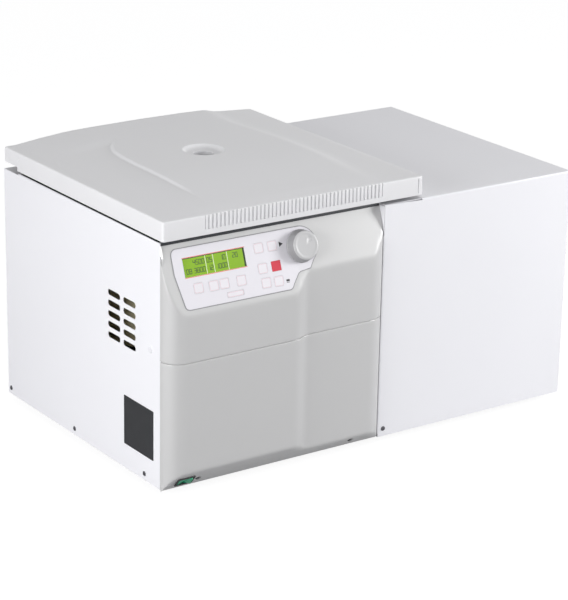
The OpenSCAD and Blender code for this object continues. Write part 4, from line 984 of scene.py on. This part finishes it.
VENT_YS = (128.5, 87.3)
VENT_TOP = 249
VENT_PITCH = 15.6
VENT_COUNT = 5
VENT_SIZE = (33, 8.6)
SIDE_SCREWS = (FRONT_Y + 48, FRONT_Y + 242, REAR_Y - 9)
SCREW_UP = 10
FRONT_SCREW = (FASCIA_RIGHT_X + 9.3, FRONT_Y, SILL_Z + 12)
FLANGE_Y = FRONT_Y + 22
FLANGE_W = 10.5

# Width, height, corner radius and centre, drawn from outside
RATING_PLATE = (78, 73, 1.5, -(FRONT_Y + 63), SILL_Z + 73.5)

# Y and Z of the release plug
RELEASE = (FRONT_Y + 32, SILL_Z + 198)


def build_left_panel():
    """The left side with its vents and a flange. Drawn from outside: X runs to the front, Y up."""
    front = -PANEL_FRONT_Y
    back = -REAR_Y
    outline = rounded(front - back, HOUSING_H, 1.2, (front + back) / 2, SILL_Z + HOUSING_H / 2)
    holes = [slot_ring(*VENT_SIZE, -(FRONT_Y + y), SILL_Z + VENT_TOP - i * VENT_PITCH)
             for y in VENT_YS for i in range(VENT_COUNT)]
    holes.append(circle(-RELEASE[0], RELEASE[1], 3.8, 32))
    panel = plate("left_side_skin", outline, SHEET_T, holes, 0.55, 3, at(LEFT_X + SHEET_T, 0, 0, LEFT_SIDE))
    flange = block("left_side_flange", (LEFT_X + SHEET_T - 0.1, FLANGE_Y, SILL_Z + 3),
                   (LEFT_X + FLANGE_W, FLANGE_Y + SHEET_T, DECK_Z - 3), None, 0.3, 2)
    keep(joined("left_side_skin", panel, flange), PANEL_WHITE, "panel_white", "housing", "left_side_panel")


def build_rating_plate():
    """A plain dark film on the left side."""
    film = plate("rating_plate_film", rounded(*RATING_PLATE), 0.4, (), 0.12, 2, at(LEFT_X, 0, 0, LEFT_SIDE))
    keep(film, PLATE_BLACK, "plate_black", "housing", "rating_plate")


def build_release_plug():
    """A cap on a pin that pulls out of the left side."""
    profile = [(0, -18.8), (3.4, -18.8), (3.4, 0), (5, 0), (5, 0.7), (4.6, 1.2), (0, 1.2)]
    plug = lathe("release_plug_cap", profile, at(LEFT_X, *RELEASE, LEFT_SIDE), 40)
    keep(plug, PLUG_WHITE, "knob_plastic", "release", "release_plug")


def screw_head(turn):
    """A pan head with a cross recess and a shank."""
    head = lathe("head", screw_profile(3.6, 1.2), turn, 32)
    shank = lathe("shank", [(0, -4), (1.5, -4), (1.5, 0.1), (0, 0.1)], turn, 20)
    cut(head, *(block("arm", (-w, -h, 0.35), (w, h, 3), turn) for w, h in ((2.2, 0.45), (0.45, 2.2))))
    shade(head, 35)
    return joined("head", head, shank)


def build_screws():
    """Three on each side and one in the cabinet's front."""
    first, second, last = SIDE_SCREWS
    up = SILL_Z + SCREW_UP
    rows = []
    for x, turn in ((LEFT_X, LEFT_SIDE), (RIGHT_X, RIGHT_SIDE)):
        rows.append(repeated("row", screw_head(turn), (x, first, up), SCREW, 2, (0, second - first, 0)))
        rows.append(repeated("row", screw_head(turn), (x, last, up), SCREW))
    rows.append(repeated("row", screw_head(FRONT_SIDE), FRONT_SCREW, SCREW))
    keep(joined("panel_screw_heads", *rows), SCREW, "screw_steel", "housing", "panel_screws")


def build_cabinet():
    """Front, right side and top folded from one sheet, with rounded folds."""
    low_x = FASCIA_RIGHT_X + 0.5
    top_x = PARTITION_X + 0.5
    points = [(low_x, FRONT_Y, SILL_Z), (RIGHT_X, FRONT_Y, SILL_Z), (RIGHT_X, FRONT_Y, DECK_Z),
              (top_x, FRONT_Y, DECK_Z), (low_x, FRONT_Y, DECK_Z), (RIGHT_X, REAR_Y, SILL_Z),
              (RIGHT_X, REAR_Y, DECK_Z), (top_x, REAR_Y, DECK_Z)]
    cover = new_object("cabinet_cover_skin", points, [(0, 1, 2, 3, 4), (1, 5, 6, 2), (3, 2, 6, 7)])
    form = bmesh.new()
    form.from_mesh(cover.data)
    folds = [e for e in form.edges if len(e.link_faces) == 2]
    bmesh.ops.bevel(form, geom=folds, offset=2.4 * MM, segments=5, profile=0.5, affect="EDGES")
    form.to_mesh(cover.data)
    form.free()
    clean(cover)
    modified(cover, "SOLIDIFY", thickness=SHEET_T * MM, offset=-1)
    rounded_edges(cover, 0.3, 2, 60, 40)
    lip = block("cabinet_cover_lip", (low_x, FRONT_Y + 0.4, SILL_Z + 2.5),
                (low_x + SHEET_T, FRONT_Y + 19.5, DECK_Z - 2.5), None, 0.3, 2)
    keep(joined("cabinet_cover_skin", cover, lip), PANEL_WHITE, "panel_white", "housing", "cabinet_cover")


GRILLE_SLOT = (80, 6)
GRILLE_ROWS = 12
GRILLE_PITCH = 13
GRILLE_UP = 151
GRILLE_OUT = 48
INLET = (LEFT_X + 74, SILL_Z + 52)
INLET_HOLE = (30.6, 46.6)


def build_rear_panel():
    """The rear with two grilles and the inlet's hole. Drawn from outside: X runs to -X, Y up."""
    height = HOUSING_H - 2
    outline = rounded(2 * (RIGHT_X - SHEET_T), height, 1.2, 0, SILL_Z + height / 2)
    middle = -(PARTITION_X + RIGHT_X) / 2
    first = GRILLE_UP - (GRILLE_ROWS - 1) / 2 * GRILLE_PITCH
    holes = [slot_ring(*GRILLE_SLOT, middle - side * GRILLE_OUT, first + i * GRILLE_PITCH)
             for side in (-1, 1) for i in range(GRILLE_ROWS)]
    w, h = INLET_HOLE
    holes.append(box_ring(-INLET[0] - w / 2, INLET[1] - h / 2, w, h))
    panel = plate("rear_panel_skin", outline, SHEET_T, holes, 0.5, 2, at(0, REAR_Y - SHEET_T, 0, REAR_SIDE))
    keep(panel, PANEL_WHITE, "panel_white", "housing", "rear_panel")


def build_mains():
    """The mains inlet and its fuse drawer."""
    inlet = node_copy("mains_inlet_housing", "mains_inlet", 0.5)
    keep(inlet, SWITCH_BLACK, "switch_black", "housing", "mains_inlet")
    drawer = node_copy("fuse_drawer_front", "fuse_drawer", 0.4)
    keep(drawer, SWITCH_BLACK, "switch_black", "fuse_drawer", "fuse_drawer")


def build_deck():
    """The deck's sheet, and on its left edge a thin white trim with a black strip of painted shade inside of
    it.
    """
    keep(node_copy("top_deck_sheet", "top_deck", 0.4, 40), DECK_GREY, "deck_grey", "housing", "top_deck")
    low_z = DECK_Z - 0.2
    end_y = REAR_Y - 44
    trim = block("deck_edge_trim", (LEFT_X + 0.05, PANEL_FRONT_Y + 1, low_z),
                 (LEFT_X + 1.9, end_y, DECK_Z + 2.4), None, 0.4, 2)
    keep(trim, PANEL_WHITE, "panel_white")
    # A black strip on the deck inside the gap under the lid's left edge, standing in for the shade there:
    # painted shade
    shade_strip = block("deck_edge_tape", (LEFT_X + 2, PANEL_FRONT_Y + 12, low_z),
                 (LEFT_X + 12, end_y, DECK_Z + 1), None, 0.3, 2)
    keep(shade_strip, RUBBER, "seal_rubber")


FOOT_INSET = 50


def build_feet():
    """A tapered rubber pad with a screw hollow, under each corner."""
    profile = [(0, SILL_Z), (16, SILL_Z), (15.8, SILL_Z - 0.4), (14.2, 0.8), (13.4, 0), (4.5, 0), (4, 0.6),
               (3.4, 2.5), (0, 2.5)]
    foot = lathe("foot", profile, None, 48)
    across = RIGHT_X - LEFT_X - 2 * FOOT_INSET
    deep = REAR_Y - FRONT_Y - 2 * FOOT_INSET
    feet = repeated("rubber_foot_pads", foot, (LEFT_X + FOOT_INSET, FRONT_Y + FOOT_INSET, 0), RUBBER,
                    2, (across, 0, 0), 2, (0, deep, 0))
    keep(feet, None, "foot_rubber", "housing", "rubber_feet")


# Lid: a height over the skirt, drawn from the left side and the cabinet front

# The crown's height across the lid, the ridge's line over its depth, and how the right band bends
CROWN = [(0, 0), (18, 0), (60, 4.8), (95, 7.9), (112, 8.9), (150, 9.9), (226, 10.8), (300, 10.5), (345, 9.6),
         (352, 8.4), (362, 5.6), (372, 4.2), (388, 3.1), (430, 0.2), (LID_W, 0)]
RIDGE = [(60, 102.5), (73, 103), (160, 103.6), (248, 105), (285, 107.5), (312, 112), (335, 122), (350, 133),
         (362, 144), (380, 168)]
BAND = [(0, 3), (142, 8), (246, 8), (363, -5), (428, 0), (442, 1)]
RIDGE_DIP = 2.6
DISH_R = 33.0
DISH_SQUARE = 44

# The port's dish and bore, as radii and drops from its rim
DISH = [(DISH_R, 0), (31.6, -0.15), (30.6, -0.7), (29.6, -1.8), (27, -4.0), (24.5, -5.3), (22, -5.9),
        (17.2, -6.2), (15.6, -6.3), (14.7, -6.9), (14.5, -7.8), (14.5, -25.2)]

SKIRT_EDGE = 8
SKIRT_CORNER = 4
TOP_EDGE = 2.2
LID_SMOOTH = 38
GRIP_START = 66
GRIP_END = 363
GRIP_UP = 7.5
GRIP_DEEP = 1.6
RIB_PITCH = 6.45
RIB_GAP = 2.6
RIB_COUNT = 46
RIB_BEND = 2.2


def step_between(a, b, value):
    """Rises softly from 0 to 1 between two places."""
    t = min(1, max(0, (value - a) / (b - a)))
    return t * t * (3 - 2 * t)


def along(points, value):
    """Height of a line through (place, height) points."""
    for (x0, y0), (x1, y1) in zip(points, points[1:]):
        if value <= x1:
            t = min(1, max(0, (value - x0) / (x1 - x0)))
            return y0 + (y1 - y0) * t
    return points[-1][1]


def lid_height(u, v):
    """Height of the lid's top over its skirt."""
    place = u - along(BAND, v) * step_between(250, 350, u)
    crown = sum(along(CROWN, place + shift) for shift in (-3, 0, 3)) / 3
    rise = (0.22 + 0.78 * step_between(0, 190, v)) * step_between(-2, 34, v)
    slope = (along(RIDGE, v + 4) - along(RIDGE, v - 4)) / 8
    side = (u - along(RIDGE, v)) / math.sqrt(1 + slope * slope)
    strength = step_between(40, 130, v) * (1 - step_between(338, 372, v)) * step_between(0, 30, u)
    dip = RIDGE_DIP * (1 - step_between(-5.0, 1.5, side)) * math.exp(-(min(side, 0) / 60) ** 2)
    corner = step_between(0, 10, u) * step_between(0, 10, LID_W - u)
    return max(0, crown * rise * corner - dip * strength)


def spaced(*spans):
    """Places from (start, end, count) spans."""
    places = [spans[0][0]]
    for start, end, count in spans:
        places += [start + (end - start) * (i + 1) / count for i in range(count)]
    return places


def quads_between(outer, inner):
    """Faces between two rings of as many points."""
    count = len(outer)
    return [(outer[i], outer[(i + 1) % count], inner[(i + 1) % count], inner[i]) for i in range(count)]


def lid_top():
    """The top as a grid, with the port's round dish in a square of it."""
    u0, u1 = PORT[0] - DISH_SQUARE, PORT[0] + DISH_SQUARE
    v0, v1 = PORT[1] - DISH_SQUARE, PORT[1] + DISH_SQUARE
    us = spaced((0, SKIRT_EDGE, 1), (SKIRT_EDGE, 92, 24), (92, 150, 46), (150, u0, 8), (u0, u1, 24),
                (u1, 340, 20), (340, 384, 24), (384, LID_W - SKIRT_EDGE, 12), (LID_W - SKIRT_EDGE, LID_W, 1))
    vs = spaced((0, SKIRT_EDGE, 1), (SKIRT_EDGE, v0, 56), (v0, v1, 24), (v1, LID_D - SKIRT_EDGE, 44),
                (LID_D - SKIRT_EDGE, LID_D, 1))
    i0, i1 = us.index(u0), us.index(u1)
    j0, j1 = vs.index(v0), vs.index(v1)
    vertices = []
    faces = []
    number = {}
    for j, v in enumerate(vs):
        for i, u in enumerate(us):
            if not (i0 < i < i1 and j0 < j < j1):
                number[i, j] = len(vertices)
                vertices.append((u, v, LID_HIGH + lid_height(u, v)))
    for j in range(len(vs) - 1):
        for i in range(len(us) - 1):
            if not (i0 <= i < i1 and j0 <= j < j1):
                faces.append((number[i, j], number[i + 1, j], number[i + 1, j + 1], number[i, j + 1]))
    border = [(i, j0) for i in range(i0, i1)] + [(i1, j) for j in range(j0, j1)]
    border += [(i, j1) for i in range(i1, i0, -1)] + [(i0, j) for j in range(j1, j0, -1)]
    ring = [number[key] for key in border]
    spokes = [Vector((us[i] - PORT[0], vs[j] - PORT[1])) for i, j in border]
    rim_z = LID_HIGH + lid_height(*PORT)
    circles = [([DISH_R + (spoke.length - DISH_R) * share for spoke in spokes], 0)
               for share in (0.75, 0.5, 0.22)]
    circles += [([r] * len(spokes), drop) for r, drop in DISH]
    for reaches, drop in circles:
        inner = []
        for spoke, reach in zip(spokes, reaches):
            p = Vector(PORT) + spoke.normalized() * reach
            inner.append(len(vertices))
            vertices.append((p.x, p.y, rim_z + drop if drop else LID_HIGH + lid_height(p.x, p.y)))
        faces += quads_between(ring, inner)
        ring = inner
    return vertices, faces


def on_lid_edge(point):
    """Whether a point of the mesh lies on the outline of the lid."""
    u = point.x / MM - LEFT_X
    v = point.y / MM - FRONT_Y
    return min(abs(u), abs(u - LID_W), abs(v), abs(v - LID_D)) < 0.01


def add_skirt(lid):
    """Draws the lid's border down into a skirt, and rounds its corners and its upper edge.

    Edges are told apart by their face angle in radians, and the port's dish stays as it is.
    """
    form = bmesh.new()
    form.from_mesh(lid.data)
    border = [e for e in form.edges if e.is_boundary and all(on_lid_edge(w.co) for w in e.verts)]
    for made in bmesh.ops.extrude_edge_only(form, edges=border)["geom"]:
        if isinstance(made, bmesh.types.BMVert):
            made.co.z = LID_LOW * MM
    form.normal_update()
    corners = []
    for edge in form.edges:
        a, b = edge.verts[0].co, edge.verts[1].co
        upright = abs(a.z - b.z) > 0.02 and (a.xy - b.xy).length < 1e-5
        if upright and edge.calc_face_angle(0) > 1:
            corners.append(edge)
    bmesh.ops.bevel(form, geom=corners, offset=SKIRT_CORNER * MM, segments=5, profile=0.5, affect="EDGES")
    form.normal_update()
    rim = [e for e in form.edges if len(e.link_faces) == 2 and e.calc_face_angle(0) > 0.9
           and min(w.co.z for w in e.verts) > (LID_HIGH - 0.5) * MM
           and (e.verts[0].co.xy / MM - Vector(CHAMBER)).length > 60]
    bmesh.ops.bevel(form, geom=rim, offset=TOP_EDGE * MM, segments=4, profile=0.5, affect="EDGES",
                    clamp_overlap=True)
    bmesh.ops.recalc_face_normals(form, faces=form.faces)
    form.to_mesh(lid.data)
    form.free()


def build_lid_shell():
    """The lid with its grip recess, a line beside it, the notch and heel at the hinge, and a dimple."""
    vertices, faces = lid_top()
    corner = at(LEFT_X, FRONT_Y, 0)
    lid = new_object("lid_shell", vertices, faces, corner)
    add_skirt(lid)
    modified(lid, "SOLIDIFY", thickness=LID_T * MM, offset=-1, use_even_offset=False)
    clean(lid)
    grip = block("grip_cut", (GRIP_START, -4, LID_LOW + GRIP_UP), (GRIP_END, GRIP_DEEP, LID_HIGH + 9), corner)
    side_line = block("line_cut", (425.4, -4, LID_LOW + 3), (427.0, 1.2, LID_HIGH - 4), corner)
    notch = block("notch_cut", (-4, LID_D - 40, LID_LOW - 2), (LID_W + 4, LID_D + 4, LID_LOW + 6), corner)
    below = LID_LOW - 3
    ring = [(LID_D + 3, below), (LID_D + 3, HINGE_Z)] + arc(HINGE_V, HINGE_Z, LID_D - HINGE_V, 0, -90, 14)
    ring.append((HINGE_V, below))
    heel = prism("heel_cut", ring, LID_W + 8, at(LEFT_X - 4, FRONT_Y, 0, RIGHT_SIDE))
    dimple = lathe("dimple_cut", [(0, 3), (3.2, 3), (2.2, -0.9), (0, -0.9)],
                   at(LEFT_X, FRONT_Y + 398, 388, LEFT_SIDE), 24)
    cut(lid, grip, side_line, notch, heel, dimple)
    shade(lid, LID_SMOOTH)
    keep(lid, LID_GREY, "lid_plastic", "lid", "lid_cover")


def build_grip_ribs():
    """Ribs with a rounded head, between the grooves of the grip recess."""
    height = LID_HIGH - LID_LOW - GRIP_UP
    outline = [(RIB_BEND, 0), (0.25, 0), (0, 0.25), (0, height - RIB_BEND)]
    outline += [(RIB_BEND * (1 + math.cos(a)), height - RIB_BEND * (1 - math.sin(a)))
                for a in map(math.radians, (157, 135, 112, 90))]
    rib = prism("rib", outline, RIB_PITCH - RIB_GAP, at(RIB_GAP / 2, 0, 0, RIGHT_SIDE))
    rounded_edges(rib, 0.45, 2, 50, 40)
    ribs = repeated("lid_grip_ribs", rib, (LEFT_X + GRIP_START, FRONT_Y, LID_LOW + GRIP_UP), LID_RIB,
                    RIB_COUNT, (RIB_PITCH, 0, 0))
    keep(ribs, None, "lid_plastic", "lid")


# Pieces that keep their CAD shape: those that the open lid shows get rounded edges

# Piece, node, body, edge rounding, least angle of a rounded edge, material and slot
SHOWN_INSIDE = (
    ("lid_liner_pan", "lid_liner", "lid", 0.4, 40, LINER, "liner_alloy"),
    ("port_window_plug", "port_window", "lid", 0.4, 40, CLEAR, "window_clear"),
    ("lid_hinge_knuckles", "lid_hinge_arms", "lid", 0.5, 40, PLATED, "latch_steel"),
    ("latch_striker_plates", "latch_strikers", "lid", 0.4, 40, PLATED, "latch_steel"),
    ("rotor_block", "rotor", "rotor", 0.8, 35, ROTOR_ALLOY, "rotor_alloy"),
    ("rotor_nut_grip", "rotor_nut", "rotor", 0.5, 40, NUT_BLACK, "nut_plastic"),
    ("latch_cross_shaft", "latch_shaft", "latch", 0.3, 40, PLATED, "latch_steel"),
    ("hinge_bracket_ears", "hinge_brackets", "housing", 0.4, 40, PLATED, "latch_steel"),
)
HIDDEN_INSIDE = {
    "motor_shaft": TURNED_STEEL, "chamber_bowl": BOWL, "chamber_gasket": RUBBER, "insulation_jacket": FOAM,
    "evaporator_coil": COPPER, "motor_bracket": ZINC, "rubber_isolators": RUBBER, "drive_motor": CASTING,
    "motor_bearings": TURNED_STEEL, "compressor": ENAMEL, "condenser": FINS, "fan_shroud": FAN_BLACK,
    "condenser_fan": FAN_BLACK, "refrigerant_lines": COPPER, "control_board": BOARD_GREEN,
    "drive_board": BOARD_GREEN, "hinge_pins": PLATED, "torsion_springs": PLATED, "lock_motor": CASTING,
    "base_plate": ZINC, "front_bulkhead": ZINC, "partition_wall": ZINC,
}


def build_inside():
    """Rounded copies of what the open lid shows, and better materials for the rest."""
    for name, node, body, edge, angle, material, slot in SHOWN_INSIDE:
        keep(node_copy(name, node, edge, angle), material, slot, body, node)
    for node, material in HIDDEN_INSIDE.items():
        keep_node(node, material)


# Stage, light and camera

FLOOR_REACH = 12000
FLOOR_COLOUR = (0.5, 0.5, 0.51, 1)
FLOOR_GLOW = 1.38
FLOOR_GLOW_SHARE = 0.66
WORLD_COLOUR = (1, 1, 1.01, 1)
WORLD_LIGHT = 0.33

# Place, target and size in metres, and power in watts
SOFTBOXES = (
    ("left softbox", (-2.3, -0.75, 0.75), (-0.36, 0, 0.25), (1.2, 1.0), 36),
    ("right softbox", (2.23, -1.58, 0.95), (0.1, -0.2, 0.25), (1.0, 0.9), 56),
    ("top softbox", (-0.6, -0.9, 2.1), (-0.1, 0, 0.35), (1.4, 1.0), 4),
)


def area_light(name, place, target, size, power):
    """A softbox that faces its target."""
    light = bpy.data.lights.new(name, "AREA")
    light.shape = "RECTANGLE"
    light.size, light.size_y = size
    light.energy = power
    obj = bpy.data.objects.new(name, light)
    bpy.context.scene.collection.objects.link(obj)
    obj.location = place
    obj.rotation_euler = (Vector(target) - Vector(place)).to_track_quat("-Z", "Y").to_euler()


def add_white(owner, surface, output, strength, share, *rays):
    """Mixes a plain white glow into a surface for the rays named, at a share."""
    nodes = owner.node_tree.nodes
    link = owner.node_tree.links.new
    glow = nodes.new("ShaderNodeEmission")
    glow.inputs["Color"].default_value = (1, 1, 1, 1)
    glow.inputs["Strength"].default_value = strength
    path = nodes.new("ShaderNodeLightPath")
    total = path.outputs[rays[0]]
    for ray in rays[1:]:
        larger = nodes.new("ShaderNodeMath")
        larger.operation = "MAXIMUM"
        link(total, larger.inputs[0])
        link(path.outputs[ray], larger.inputs[1])
        total = larger.outputs[0]
    part = nodes.new("ShaderNodeMath")
    part.operation = "MULTIPLY"
    part.inputs[1].default_value = share
    link(total, part.inputs[0])
    mix = nodes.new("ShaderNodeMixShader")
    link(part.outputs[0], mix.inputs[0])
    link(nodes[surface].outputs[0], mix.inputs[1])
    link(glow.outputs[0], mix.inputs[2])
    link(mix.outputs[0], nodes[output].inputs["Surface"])


def build_floor():
    """A pale floor that glows white for the camera and keeps the object's shadow."""
    corners = [(x * FLOOR_REACH, y * FLOOR_REACH, 0) for x, y in ((-1, -1), (1, -1), (1, 1), (-1, 1))]
    floor = new_object("studio_floor", corners, [(0, 1, 2, 3)])
    material = bpy.data.materials.new("studio floor")
    material.use_nodes = True
    surface = material.node_tree.nodes["Principled BSDF"]
    surface.inputs["Base Color"].default_value = FLOOR_COLOUR
    surface.inputs["Roughness"].default_value = 0.9
    add_white(material, "Principled BSDF", "Material Output", FLOOR_GLOW, FLOOR_GLOW_SHARE, "Is Camera Ray")
    dress(floor, material)


def build_light():
    """An even world that is white behind the object, and the softboxes."""
    world = bpy.data.worlds.new("studio")
    bpy.context.scene.world = world
    world.use_nodes = True
    base = world.node_tree.nodes["Background"]
    base.inputs["Color"].default_value = WORLD_COLOUR
    base.inputs["Strength"].default_value = WORLD_LIGHT
    add_white(world, "Background", "World Output", 1, 1,
              "Is Camera Ray", "Is Glossy Ray", "Is Transmission Ray")
    for softbox in SOFTBOXES:
        area_light(*softbox)


# The photograph's camera: its place from the housing's lower front left corner, its angles in radians
CAMERA_PLACE = (-1545.42, -2489.07, 1297.21)
CAMERA_AZIMUTH = 0.6107453
CAMERA_ELEVATION = 0.3339468
CAMERA_ROLL = 0.0193043
FOCAL_PIXELS = 2323.53
PHOTO_HEIGHT = 600
SENSOR = 36


def build_camera():
    """Looks from the photograph's place, rolled a little."""
    level = Vector((math.sin(CAMERA_AZIMUTH), math.cos(CAMERA_AZIMUTH), 0))
    ahead = level * math.cos(CAMERA_ELEVATION) - Vector((0, 0, math.sin(CAMERA_ELEVATION)))
    across = Vector((math.cos(CAMERA_AZIMUTH), -math.sin(CAMERA_AZIMUTH), 0))
    upward = across.cross(ahead)
    right = across * math.cos(CAMERA_ROLL) + upward * math.sin(CAMERA_ROLL)
    up = upward * math.cos(CAMERA_ROLL) - across * math.sin(CAMERA_ROLL)
    camera = bpy.data.cameras.new("photo camera")
    camera.sensor_fit = "VERTICAL"
    camera.sensor_height = SENSOR
    camera.sensor_width = SENSOR
    camera.lens = FOCAL_PIXELS / PHOTO_HEIGHT * SENSOR
    camera.clip_end = 60
    obj = bpy.data.objects.new("photo camera", camera)
    bpy.context.scene.collection.objects.link(obj)
    place = (Vector(CAMERA_PLACE) + Vector((LEFT_X, FRONT_Y, SILL_Z))) * MM
    obj.matrix_world = Matrix.Translation(place) @ Matrix((right, up, -ahead)).transposed().to_4x4()
    bpy.context.scene.camera = obj
    bpy.context.scene.view_settings.view_transform = "Standard"


build_camera()
build_floor()
build_light()
build_upper_fascia()
build_lower_fascia()
build_fascia_shadow_and_seams()
build_fascia_screws()
build_overlay()
for key_name, key_place in KEYS.items():
    build_key(key_name, *key_place)
build_marks()
build_display()
build_knob()
build_switch()
build_left_panel()
build_rating_plate()
build_release_plug()
build_screws()
build_cabinet()
build_rear_panel()
build_mains()
build_deck()
build_feet()
build_lid_shell()
build_grip_ribs()
build_inside()
